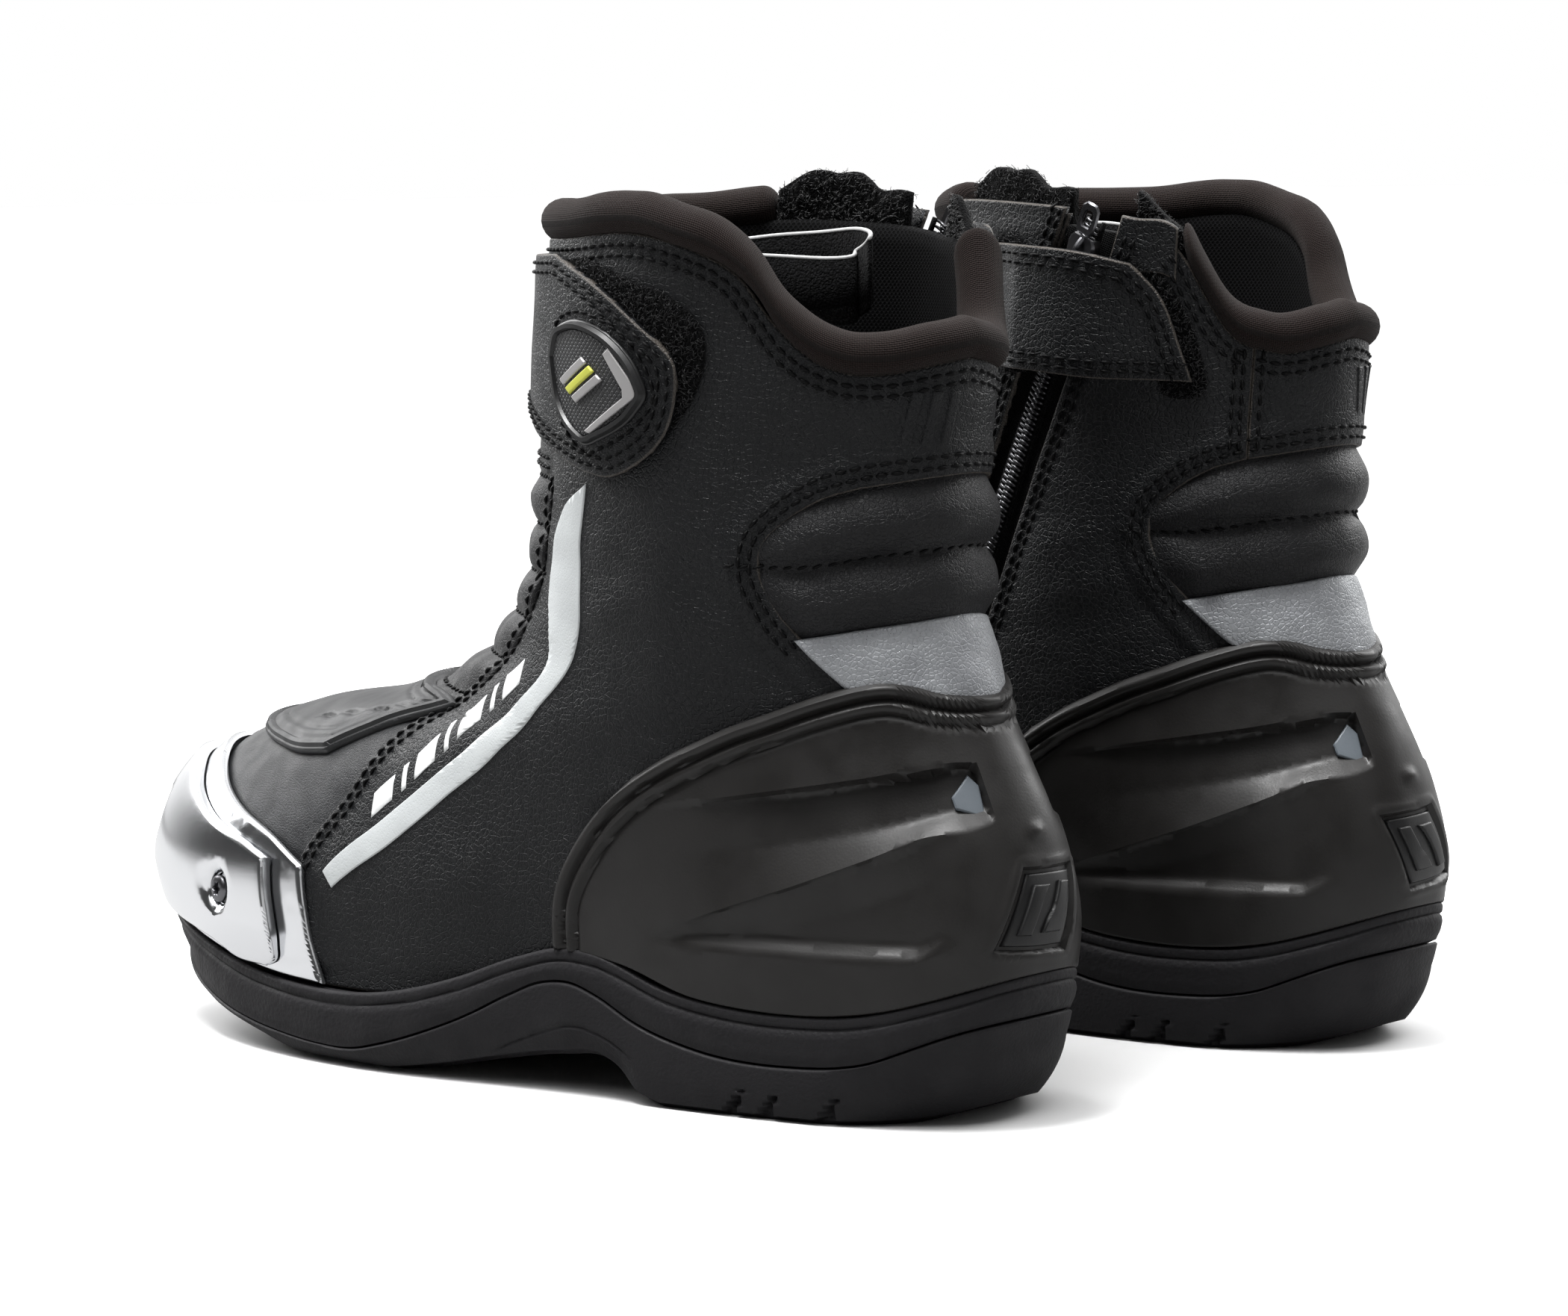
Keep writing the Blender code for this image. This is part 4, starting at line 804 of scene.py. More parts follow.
M_TAPE = knit("zip_tape_cloth", (0.006, 0.006, 0.0063), 0.12)
M_TAPE_CORD = fuzzy("zip_cord_cloth", (0.006, 0.006, 0.0063), 2200.0, 0.2)
M_FUZZ = fuzzy("loop_fastener", (0.003, 0.003, 0.0033), 1500.0, 0.6)
M_FIBRE = plastic("loop_fibre", (0.009, 0.009, 0.0095), 0.5, 3000.0, 0.02, Specular_IOR_Level=0.5)
M_THREAD = plastic("thread", (0.0022, 0.0022, 0.0025), 0.5, 2500.0, 0.1, Specular_IOR_Level=0.12)
M_PIPING = plastic("pale_piping", (0.42, 0.42, 0.42), 0.6, 1200.0, 0.1)
M_FOAM = fuzzy("footbed_cloth", (0.012, 0.012, 0.0135), 1600.0, 0.2)
M_BOARD = plastic("fibre_board", (0.3, 0.2, 0.12), 0.8, 500.0, 0.2)


# ---- outlines, (degrees round the boot, height) ----
VAMP_SEAM = [(61, 21), (63, 38), (64.5, 53), (67, 70), (62, 86), (54, 97)]
SHIN_SEAM = [(54, 97), (51, 107), (49, 119), (48.5, 135), (50, 148), (52, 158)]
CUFF_LINE = [(52, 158), (25, 159), (0, 159), (-25, 159), (-52, 158)]
INSTEP_LINE = [(54, 97), (27, 98.5), (0, 99), (-27, 98.5), (-54, 97)]
WINDOW_FOOT = [(143, 106.5), (132, 119)]
HEEL_WINDOW = [(132, 119), (124, 129), (120, 138), (120.5, 143), (125.5, 149), (134, 154.5), (144, 157.3)]
WINDOW_TOP = [(144, 157.3), (160, 159), (180, 160), (200, 159), (216, 157.3)]
SILVER_LINE = [(132, 119), (145, 121), (165, 123), (180, 124), (195, 123), (215, 121), (228, 119)]
BACK_SEAM = 216.0
FRONT_SEAM = -20.0
SEAM_DROP = 4.4
BAND_ENDS = (57.5, 122.5)
ZIP_TOP = np.array((80.0, 221.0))
ZIP_END = np.array((30.0, 112.0))
ZIP_WAY = (ZIP_END - ZIP_TOP) / np.linalg.norm(ZIP_END - ZIP_TOP)
ZIP_SQUARE = np.array((ZIP_WAY[1], -ZIP_WAY[0]))
ZIP_LENGTH = np.linalg.norm(ZIP_END - ZIP_TOP)
ZIP_SLOT = 7.5
SKIN_COAT = 2.3         # outer face of the quarters above the skin

FRONT_EDGE = [(61, seat_edge(61, 0.5))] + VAMP_SEAM[1:]


# ---- sole ----
DENSE = np.linspace(0, 2 * pi, 2881)
DENSE_WALK = arc(skin(DENSE, np.full(len(DENSE), SOLE_V)))
ROUND = 420
TURNS = np.interp(np.arange(ROUND) * DENSE_WALK[-1] / ROUND, DENSE_WALK, DENSE)


def ring(height, distance, turns=TURNS):
    """A level ring at heights given for each turn, moved out horizontally from the skin."""
    v = level(turns, height)
    out = normal(turns, v) * (1, 1, 0)
    out /= np.linalg.norm(out, axis=1, keepdims=True)
    points = skin(turns, v) + out * np.reshape(distance, (-1, 1))
    points[:, 2] = height
    return points


def cap(size, base, down):
    """Faces that close a ring by pairing points across it."""
    half = size // 2
    faces = [(base, base + 1, base + size - 1)]
    faces += [(base + i, base + i + 1, base + size - i - 1, base + size - i) for i in range(1, half - 1)]
    faces += [(base + half - 1, base + half, base + half + 1)]
    return [tuple(reversed(f)) for f in faces] if down else faces


def stacked(rings, low_cap=True):
    """A closed solid from level rings of equal size."""
    size = len(rings[0])
    faces = grid_faces(len(rings), size)
    if low_cap:
        faces += cap(size, 0, True)
    faces += cap(size, (len(rings) - 1) * size, False)
    return {"verts": np.concatenate(rings), "faces": faces}


STATION = skin(TURNS, np.full(ROUND, SOLE_V))[:, 1]


def outsole():
    low = ground(STATION)
    high = groove(STATION)
    foot = np.interp(STATION, (-150, -110, -20, 50, 150), (-7, -3, -3, 3, 2))
    wall = np.interp(STATION, (-150, -110, -20, 50, 150), (-1, 3, 3.5, 6, 5))
    at_heel = smooth(104, 138, STATION)
    foot = foot - 9.5 * at_heel
    rows = [ring(low, foot), ring(low + 0.7, foot + 0.8)]
    arch_line = along(((-4, 6.0), (2, 9.2), (17, 15.2), (30, 18.4), (39, 16.8), (48, 12.8), (54, 9.0)),
                      STATION)
    in_arch = smooth(-2, 5, STATION) * smooth(52, 46, STATION)
    for share in np.linspace(0, 1, 34):
        z = low + 1.6 + (high - 0.6 - low - 1.6) * share
        reach = wall + (6.1 - wall) * share ** 0.8 + 0.35 * np.sin(share * pi)
        notch = 0.0
        for centre, lean in ((79.7, 0.7), (90.1, 0.65), (107.0, 0.6)):
            half = 2.1 * (1 - (z - low) / 7.5)
            off = np.abs(STATION - centre - lean * (z - low)) - half
            notch = notch + smooth(0.35, -0.35, off) * (z - low < 7.5)
        reach = reach - 2.4 * notch - at_heel * 10.0 * (1 - np.clip(z / 24, 0, 1)) ** 2.3
        reach -= in_arch * (0.6 * np.exp(-((z - arch_line) / 0.42) ** 2)
                            + 0.9 * smooth(-0.3, -4.0, z - arch_line))
        rows.append(ring(z, reach))
    rows += [ring(high - 0.25, 5.9 + 0 * high), ring(high, 5.3 + 0 * high), ring(high - 0.4, 3.9 + 0 * high)]
    body = stacked(rows, low_cap=False)
    border = rows[0]
    half = ROUND // 2
    columns = 56
    verts = []
    for i in range(1, half):
        a, b = border[i], border[ROUND - i]
        share = np.linspace(0, 1, columns)[:, None]
        line = a + (b - a) * share
        width = np.linalg.norm(b - a)
        inset_by = np.minimum(share[:, 0], 1 - share[:, 0]) * width
        x, y = line[:, 0], line[:, 1]
        centre = (a[0] + b[0]) / 2
        wave = (y + np.abs(x - centre) * 0.45) / 12.5
        open_cut = smooth(0.36, 0.29, np.abs(wave - np.round(wave)))
        cut = 1 - smooth(0.13, 0.19, np.abs(wave - np.round(wave)))
        spine = 1 - smooth(1.2, 2.0, np.abs(np.abs(x - centre) - 12))
        arch = smooth(-25, -12, y) * smooth(64, 54, y)
        depth = 1.9 * np.maximum(cut, spine) * smooth(4.5, 6.0, inset_by) * (1 - arch)
        depth += 0.5 * arch * open_cut * smooth(6, 9, inset_by)
        depth *= smooth(-148, -138, y) * smooth(146, 138, y)
        line[:, 2] += depth
        verts.append(line)
    faces = [tuple(reversed(f)) for f in grid_faces(half - 1, columns, False)]
    sheet = np.concatenate(verts)
    first, last = len(sheet), len(sheet) + 1
    sheet = np.concatenate([sheet, border[[0, half]]])
    row = (half - 2) * columns
    faces += [(first, k + 1, k) for k in range(columns - 1)]
    faces += [(last, row + k, row + k + 1) for k in range(columns - 1)]
    return joined([body, {"verts": sheet, "faces": faces}])


def midsole():
    shown = smooth(-58, -38, STATION)
    low = groove(STATION) + 0.05 + 0.35 * shown
    high = sole_top(STATION)
    tall = high - low
    rows = [ring(low + 0.3, 3.8 + 0 * low), ring(low, 5.3 - 0.5 * shown), ring(low + 0.25, 5.8 - 0.3 * shown)]
    for share in np.linspace(0.06, 1, 22):
        z = low + 0.6 + (tall - 1.6) * share
        from_top = high - z
        line = 0.75 * np.exp(-((from_top - 3.1) / 0.42) ** 2)
        lower = 0.4 * smooth(3.6, 5.5, from_top) * smooth(0.0, 3.0, z - low)
        rows.append(ring(z, 5.45 + 0.25 * np.sin(share * pi) + lower - line))
    rows += [ring(high - 0.5, 5.25 + 0 * low), ring(high - 0.12, 4.75 + 0 * low), ring(high, 4.1 + 0 * low),
             ring(high - 0.15, 3.4 + 0 * low), ring(high - 0.8, 2.9 + 0 * low),
             ring(seat(STATION), 2.6 + 0 * low)]
    return stacked(rows)


def footbed():
    turns = TURNS[::3]
    y = STATION[::3]
    reach = -6.9 - np.interp(y, (-125, -95), (5.0, 1.0))
    base = seat(y)
    rows = [ring(base + 7.2, reach, turns), ring(base + 10.0, reach - 0.2, turns),
            ring(base + 10.9, reach - 1.2, turns)]
    for step in (4.0, 8.0, 14.0):
        rows.append(ring(base + 10.9 - 0.9 * smooth(1, 12, step), reach - step, turns))
    return stacked(rows)


# ---- backing that closes every seam from behind ----
def zip_gap(points):
    """Distance from the zip's middle line, seen from the inner side."""
    flat = points[:, 1:] - ZIP_TOP
    down = flat @ ZIP_WAY
    away = np.abs(flat @ ZIP_SQUARE)
    past = np.maximum(down - ZIP_LENGTH, 0)
    return np.where(points[:, 0] < 0, np.hypot(away, past), 99.0)


def backing():
    turns = np.linspace(0, 2 * pi, 161)[:-1]
    floor = seat(skin(turns, SOLE_V + 0 * turns)[:, 1]) + 2.8
    top = np.array([rim(degrees(t), SEAM_DROP + 1.5) for t in turns])
    outside = []
    within = []
    for share in np.linspace(0, 1, 56):
        z = floor + (top - floor) * share
        v = level(turns, z)
        base = skin(turns, v)
        sunk = smooth(15, 10.5, zip_gap(base))
        outside.append(surface(turns, v, 0.75 - 3.9 * sunk))
        within.append(surface(turns, v, -3.6 + 0 * v))
    rows = outside + within[::-1]
    faces = grid_faces(len(rows), len(turns))
    size = len(turns)
    last = (len(rows) - 1) * size
    faces += [(last + i, last + (i + 1) % size, (i + 1) % size, i) for i in range(size)]
    return {"verts": np.concatenate(rows), "faces": faces}


# ---- leather ----
def hide(coat, wave=0.5, seed=0.0, plump=0.35):
    """Outer face of a leather panel: soft unevenness and a slight swell away from its edges."""
    def shape(base, near, angle, v):
        swell = plump * (1 - np.exp(-(near / 7.0) ** 2))
        ankle = np.exp(-((base[:, 2] - 128) / 26) ** 2)
        folds = lumps(base, 15.0, seed + 5.1, (0.6, 0.6, 1.7)) * ankle * 0.9
        soft = smooth(1.5, 8.0, near)
        sewn = 0.4 * np.exp(-((near - 3.4) / 1.7) ** 2)
        return coat + swell - sewn + soft * (wave * lumps(base, 34.0, seed)
                                             + 0.4 * wave * lumps(base, 13.0, seed + 9.3) + wave * folds)
    return shape


def laid(rise):
    """A layer this far above the outer quarter, following its unevenness."""
    plain = hide(SKIN_COAT, 0.55, 1.0)
    return lambda base, near, angle, v: plain(base, np.full(len(base), 40.0), angle, v) + rise


def banded(plain, line, height=0.9, width=8.2):
    """The same leather with a second layer along a line."""
    def shape(base, near, angle, v):
        away = distance_to(base, line, False)
        out = plain(base, near, angle, v) + height * smooth(width + 0.45, width - 0.45, away)
        turned = 180 - np.abs(np.degrees(angle) % 360 - 180)
        top = np.interp(turned, [row[0] for row in CUP_TOP], [row[1] for row in CUP_TOP])
        covered = smooth(103, 108, turned) * smooth(-4, -8, base[:, 2] - top)
        return out - np.maximum(out - 0.9, 0) * covered
    return shape


def vamp():
    low = edge(seat_edge, -61, 61, 0.5, 16)
    runs = [FRONT_EDGE, INSTEP_LINE, mirrored(FRONT_EDGE), low]
    return patch(runs, 0.3, hide(1.5, 0.25, 2.0, 0.2), spacing=3.6, gap=-4.0, bevel=0.9)


def lateral_quarter():
    runs = [edge(seat_edge, 180, 61, 0.5, 16),
            FRONT_EDGE,
            SHIN_SEAM,
            [(52, 158), (25, 159), (0, 159), (FRONT_SEAM, 159)],
            [(FRONT_SEAM, 159), (FRONT_SEAM, rim(FRONT_SEAM, SEAM_DROP))],
            edge(rim, FRONT_SEAM, BACK_SEAM, SEAM_DROP, 26),
            [(BACK_SEAM, rim(BACK_SEAM, SEAM_DROP)), (BACK_SEAM, 157)],
            WINDOW_TOP[::-1],
            HEEL_WINDOW[::-1],
            WINDOW_FOOT[::-1],
            [WINDOW_FOOT[0]] + edge(cup_top, 143, 180, 4.0, 9)[1:],
            [(180, cup_top(180, 4.0)), (180, seat_edge(180, 0.5))]]
    line = smooth_run(WINDOW_FOOT + HEEL_WINDOW[1:] + WINDOW_TOP[1:], 1.5)
    along_band = [shift(line, amount) for amount in (7.7, 8.7)]
    return patch(runs, 0.6, banded(hide(SKIN_COAT, 0.55, 1.0), skin(*line.T)), spacing=3.0, step=1.8,
                 bevel=0.9, lines=along_band)


def side_run(start, stop):
    return [at_side(*(start + (stop - start) * k), -1) for k in np.linspace(0, 1, 9)]


def zip_sides(half, past):
    """Runs down the front of the zip, round its foot and up its back."""
    square = ZIP_SQUARE * half
    front = side_run(ZIP_TOP + square, ZIP_END + square)
    back = side_run(ZIP_END - square, ZIP_TOP - square)
    foot = [front[-1], at_side(*(ZIP_END + ZIP_WAY * past), -1), back[0]]
    return front, foot, back


def medial_quarter():
    front, foot, back = zip_sides(ZIP_SLOT, ZIP_SLOT * 0.8)
    front[0] = (front[0][0], rim(front[0][0], 0.8))
    back[-1] = (back[-1][0], rim(back[-1][0], 0.8))
    seam = BACK_SEAM - 360
    one, two = (-a for a in BAND_ENDS)
    runs = [[(-61, seat_edge(-61, 0.5))] + flipped(VAMP_SEAM[1:]),
            flipped(SHIN_SEAM),
            [(-52, 158), (-25, 159), (FRONT_SEAM, 159)],
            [(FRONT_SEAM, 159), (FRONT_SEAM, rim(FRONT_SEAM, SEAM_DROP))],
            edge(rim, FRONT_SEAM, one, SEAM_DROP, 6),
            [(one, rim(one, SEAM_DROP)), (one, rim(one, 0.8))],
            edge(rim, one, front[0][0], 0.8, 6),
            front, foot, back,
            edge(rim, back[-1][0], two, 0.8, 4),
            [(two, rim(two, 0.8)), (two, rim(two, SEAM_DROP))],
            edge(rim, two, seam, SEAM_DROP, 7),
            [(seam, rim(seam, SEAM_DROP)), (seam, 157)],
            mirrored(HEEL_WINDOW),
            mirrored(WINDOW_FOOT),
            [(-143, 106.5)] + edge(cup_top, -143, -180, 4.0, 9)[1:],
            [(-180, cup_top(180, 4.0)), (-180, seat_edge(180, 0.5))],
            edge(seat_edge, -180, -61, 0.5, 16)]
    line = smooth_run(flipped(WINDOW_FOOT + HEEL_WINDOW[1:]), 1.5)
    along_band = [shift(line, -amount) for amount in (7.7, 8.7)]
    return patch(runs, 0.6, banded(hide(SKIN_COAT, 0.5, 4.0), skin(*line.T)), spacing=3.0, step=1.8,
                 bevel=0.9, lines=along_band)


def medial_bands():
    """Two leather facings that finish the rim on either side of the zip."""
    front, _, back = zip_sides(ZIP_SLOT + 0.4, 5)
    one, two = (-a for a in BAND_ENDS)
    f, b = front[0][0], back[-1][0]
    shapes = []
    for start, stop in ((one + 0.6, f), (b, two - 0.6)):
        count = 7
        low = [(a, rim(a, 13.0)) for a in np.linspace(start, stop, count)]
        high = [(a, rim(a, -1.0)) for a in np.linspace(start, stop, count)]
        if stop == f:
            low[-1] = at_side(*(ZIP_TOP + ZIP_SQUARE * (ZIP_SLOT + 0.4) + ZIP_WAY * 12), -1)
        else:
            low[0] = at_side(*(ZIP_TOP - ZIP_SQUARE * (ZIP_SLOT + 0.4) + ZIP_WAY * 12), -1)
        runs = [low, [low[-1], high[-1]], high[::-1], [high[0], low[0]]]
        shapes.append(patch(runs, 1.6, hide(3.5, 0.15, 3.0, 0.2), spacing=2.6, bevel=0.7))
    return shapes


def reflective_strip():
    low = [(-51.5, 47), (-30, 60.3), (-9, 75.5), (12, 90.5), (22, 99.5), (33, 111.5), (36, 122), (37.3, 141),
           (41, 157.5)]
    high = [(41, 157.5), (30, 150.5), (24, 141), (21.5, 130), (22.5, 119), (23, 111), (13, 99.5), (-9.5, 83),
            (-31, 68), (-55, 51)]
    runs = [[at_side(y, z, 1) for y, z in low], [at_side(y, z, 1) for y, z in high],
            [at_side(-55, 51, 1), at_side(-51.5, 47, 1)]]
    return patch(runs, 1.0, laid(0.4), spacing=2.2, bevel=0.3)


def print_bars():
    """A row of plain slanted bars printed above the strip."""
    start, stop = np.array((-39.0, 69.0)), np.array((12.0, 107.0))
    length = np.linalg.norm(stop - start)
    run = (stop - start) / length
    up = np.array([-run[1], run[0]])
    bars = []
    for low, high in ((0.0, 0.14), (0.20, 0.23), (0.29, 0.43), (0.49, 0.52), (0.58, 0.72), (0.78, 0.81),
                      (0.87, 1.0)):
        a, b = start + run * length * low, start + run * length * high
        lean = run * 1.6
        corners = [a - up * 2.7 - lean, b - up * 2.7 - lean, b + up * 2.7 + lean, a + up * 2.7 + lean]
        corners.append(corners[0])
        bars.append(patch(polygon([at_side(y, z, 1) for y, z in corners], 1.4), 1.0, laid(0.2),
                          spacing=2.0, bevel=0.15))
    return joined(bars)


def front_accordion():
    heights = np.array([95, 98.5, 109, 120.5, 132.5, 145, 157.5, 163])

    def shape(base, near, angle, v):
        phase = np.interp(base[:, 2] + 0.5 * lumps(base, 18.0, 3.3), heights, np.arange(len(heights)) - 1.0)
        bump = np.abs(np.sin(phase * pi)) ** 0.62 * np.interp(base[:, 2], (95, 104, 153, 160),
                                                              (0.3, 1, 1, 0.2))
        side = smooth(62, 44, np.abs(np.degrees(angle)))
        pucker = 0.35 * lumps(base, 4.0, 1.0, (1.6, 0.6, 0.7)) * (1 - bump)
        return 1.3 + 2.7 * bump * (0.45 + 0.55 * side) + pucker + 0.5 * lumps(base, 12.0, 8.0) * bump
    lines = []
    for k in range(1, len(heights) - 1):
        lines.append(smooth_run([(56, heights[k]), (28, heights[k]), (0, heights[k]), (-28, heights[k]),
                                 (-56, heights[k])], 2.0))
    runs = [SHIN_SEAM, CUFF_LINE, mirrored(SHIN_SEAM), INSTEP_LINE[::-1]]
    return patch(runs, -0.2, shape, spacing=1.9, gap=-4.5, bevel=0.8, lines=lines), lines


def rear_accordion():
    def shape(base, near, angle, v):
        z = base[:, 2] + 0.9 * lumps(base, 20.0, 6.0)
        turned = 180 - np.abs(np.degrees(angle) % 360 - 180)
        foot = np.interp(turned, (132, 145, 165, 180), (119, 121, 123, 124))
        middle = np.interp(turned, (112, 130, 150, 180), (138.5, 138, 140.5, 142))
        head = np.interp(turned, (120, 134, 144, 160, 180), (150, 154.5, 157.3, 159, 160))
        phase = np.where(z < middle, (z - foot) / (middle - foot), 1 + (z - middle) / (head - middle))
        phase = np.clip(phase, 0, 2)
        bump = np.abs(np.sin(phase * pi)) ** 0.6
        side = smooth(0.0, 12.0, near)
        pucker = 0.5 * lumps(base, 5.0, 2.0, (0.7, 0.7, 1.6)) * (1 - bump) ** 2
        return 1.2 + 4.7 * bump * (0.25 + 0.75 * side) + pucker + 0.55 * lumps(base, 11.0, 4.0) * bump
    other = across(HEEL_WINDOW[::-1])
    crease = smooth_run([(112, 138.5), (130, 138), (150, 140.5), (180, 142), (210, 140.5), (230, 138),
                         (248, 138.5)],
                        2.0)
    runs = [HEEL_WINDOW, WINDOW_TOP, other, SILVER_LINE[::-1]]
    return patch(runs, -0.4, shape, spacing=1.9, gap=-4.0, bevel=0.8, lines=[crease]), crease


def reflective_rib():
    def shape(base, near, angle, v):
        bump = np.clip(np.sin(np.interp(base[:, 2], (102, 125.5), (0.2, 1.0)) * pi), 0, 1) ** 0.6
        pucker = lumps(base, 5.5, 5.0, (1.0, 1.0, 0.5)) * smooth(9, 2, near)
        return 1.9 + 3.1 * bump + 0.45 * pucker + 0.4 * lumps(base, 10.0, 6.0) * bump
    low = edge(cup_top, 143, 217, 0.4, 9)
    runs = [[low[0], SILVER_LINE[0]], SILVER_LINE, [SILVER_LINE[-1], low[-1]], low[::-1]]
    return patch(runs, 0.0, shape, spacing=1.7, gap=-1.2, bevel=0.8)


# ---- heel cup ----
UPPER_EDGE = [(112.5, 77.1), (127, 81.2), (144.5, 85.2), (164, 88.3), (169, 88)]
UPPER_END = [(169, 88), (169.5, 82.6), (170.5, 74.2)]
UPPER_FLOOR = [(112.5, 64.3), (119.5, 66.1), (162, 77.9), (170, 79.5)]
RIDGE = [(113, 43.3), (123.5, 52.6), (133.5, 59.4), (144.5, 66), (155, 71.1), (164.5, 72.4), (170.5, 74.2)]
LOWER_FACET = [(120, 43.5), (125, 46.1), (161.5, 64)]
LOWER_EDGE = [(113.5, 42.1), (123.5, 42.3), (142, 42.3), (153.5, 42.5), (157.5, 45.1)]
BADGE_SEAT = [(175, 63.5), (190.5, 62.5), (183, 43.5), (167.5, 45), (175, 63.5)]


def polygon(points, spacing=1.6):
    """A closed loop with a corner at each point."""
    return closed_loop([points[i:i + 2] for i in range(len(points) - 1)], spacing)


def signed(base, angle, v, loop):
    """Distance inside a loop, negative outside, in millimetres."""
    away = distance_to(base, skin(*loop.T))
    turned = np.where(angle < 0, angle + 2 * pi, angle) if loop[:, 0].max() > pi else angle
    return np.where(inside(np.stack([turned, v], 1), loop), away, -away)


def heel_cup():
    seat_loop = polygon(BADGE_SEAT)
    foot = top_edge(101, 0.6)
    crest = smooth_run([(101, foot), (101, 52), (103.5, 69)] + edge(cup_top, 108, 252, 0.0, 24)
                       + [(256.5, 69), (259, 52), (259, foot)], 1.2)
    crest_line = skin(*crest.T)

    def read(points, turned):
        return np.interp(turned, [p[0] for p in points], [p[1] for p in points])

    def shape(base, near, angle, v):
        from_top = distance_to(base, crest_line, False)
        out = 5.0 + 0.5 * smooth(9, 30, from_top)
        out += 1.25 * np.exp(-((from_top - 2.2) / 1.3) ** 4)
        out -= 0.7 * np.exp(-((from_top - 4.35) / 0.55) ** 2)
        out += 1.0 * np.exp(-((from_top - 6.4) / 1.15) ** 4)
        out -= 0.75 * np.exp(-((from_top - 8.5) / 0.6) ** 2)
        turned = 180 - np.abs(np.degrees(angle) % 360 - 180)
        z = base[:, 2]
        top, floor, ridge = read(UPPER_EDGE, turned), read(UPPER_FLOOR, turned), read(RIDGE, turned)
        facet, lip = read(LOWER_FACET, turned), read(LOWER_EDGE, turned)
        wall = np.interp(z, (74.2, 82.6, 88), (170.5, 169.5, 169.0))
        ramp = np.clip((z - ridge) / np.maximum(floor - ridge, 1.0), 0, 1)
        upper = ramp * smooth(0.2, 1.0, top - z) * smooth(0.0, 0.7, wall - turned) * smooth(111, 136, turned)
        under = np.clip((ridge - z) / np.maximum(ridge - facet, 1.0), 0, 1)
        lower = (0.3 + 0.7 * under) * smooth(0.1, 0.7, ridge - z) * smooth(0.0, 4.2, z - lip)
        lower *= smooth(112.5, 123, turned) * smooth(163, 150, turned)
        out -= 3.6 * upper + 3.1 * lower
        s = signed(base, angle, v, seat_loop)
        out -= 1.3 * smooth(0.0, 0.6, s)
        out += 0.45 * np.exp(-((s + 1.0) / 0.8) ** 2)
        rear = np.abs(np.degrees(angle) % 360 - 180)
        return out + 1.1 * np.exp(-(rear / 1.8) ** 2 - ((z - 71) / 1.5) ** 2)
    low = edge(top_edge, 259, 101, 0.6, 18)
    runs = [[(101, foot), (101, 52), (103.5, 69), (108, 84)], edge(cup_top, 108, 252, 0.0, 24),
            [(252, 84), (256.5, 69), (259, 52), (259, foot)], low]
    lines = [closed(seat_loop), shift(closed(seat_loop), 0.7)]
    for points, gap in ((UPPER_EDGE, -0.9), (UPPER_END, -0.9), (RIDGE, -0.7), (LOWER_EDGE, 1.6),
                        (UPPER_FLOOR, 0)):
        for run, sense in ((points, 1), (across(points), -1)):
            line = smooth_run(run, 1.1)
            lines.append(line)
            if gap:
                lines.append(shift(line, gap * sense))
    rings = [0.3, 0.6, 1.0, 1.6, 2.2, 2.8, 3.3, 3.8, 4.35, 4.9, 5.4, 6.0, 6.7, 7.3, 7.9, 8.5, 9.1, 9.8]
    return patch(runs, 1.2, shape, spacing=1.2, step=1.2, bevel=0.9, lines=lines, rings=rings)


def heel_badge():
    points = [(176, 62), (189, 61.2), (182.3, 45), (169.2, 46.2), (176, 62)]
    plate = patch(polygon(points), 3.4, 4.9, spacing=1.4, step=1.0, bevel=0.7)
    bars = []
    for k in (0, 1):
        a = 175.2 + 5.6 * k
        bar = [(a + 2.0, 59.2), (a + 5.2, 58.9), (a + 0.6, 48.2), (a - 2.6, 48.5), (a + 2.0, 59.2)]
        bars.append(patch(polygon(bar, 0.8), 4.5, 5.8, spacing=1.2, step=0.8, bevel=0.5))
    return joined([plate] + bars)


def cup_insert():
    points = [(161.5, 80.7), (166.5, 85.8), (169, 83.1), (169, 75.4), (162, 77.9), (161.5, 80.7)]
    one = polygon(points, 0.8)
    other = np.stack([2 * pi - one[:, 0], one[:, 1]], 1)[::-1]
    return joined([patch(loop, 1.6, 3.3, spacing=1.2, bevel=0.4) for loop in (one, other)])


# ---- toe slider ----
SCREWS = ((51.5, 42.6), (20.5, 55.5))


def slider_runs():
    upper = [(-12, 72), (5, 75.5), (21, 74.2), (31.5, 71), (40.5, 66.9), (49, 62.8), (59, 57.8), (66, 51.6)]
    rear = [(66, 51.6), (67, 40), (67, top_edge(67, 0.7))]
    low = edge(top_edge, 67, -8, 0.7, 10)
    front = [(-8, top_edge(-8, 0.7)), (-18, 48), (-19, 60), (-12, 72)]
    return [upper, rear, low, front]


def circle_on_skin(angle_deg, height, radius, count=40):
    a = np.full(count, radians(angle_deg))
    centre = np.stack([a, level(a, np.full(count, height))], 1)
    turn, rise = slopes(*centre.T)
    out = normal(*centre.T)
    first = turn / np.linalg.norm(turn, axis=1, keepdims=True)
    second = np.cross(out, first)
    w = np.linspace(0, 2 * pi, count, endpoint=False)[:, None]
    step = (first * np.cos(w) + second * np.sin(w)) * radius
    return np.array([c + np.linalg.lstsq(np.stack([t, r], 1), s, rcond=None)[0]
                     for c, t, r, s in zip(centre, turn, rise, step)])


def screw_centre(index):
    a = radians(SCREWS[index][0])
    v = level(a, SCREWS[index][1])
    return skin(a, v), normal(a, v)


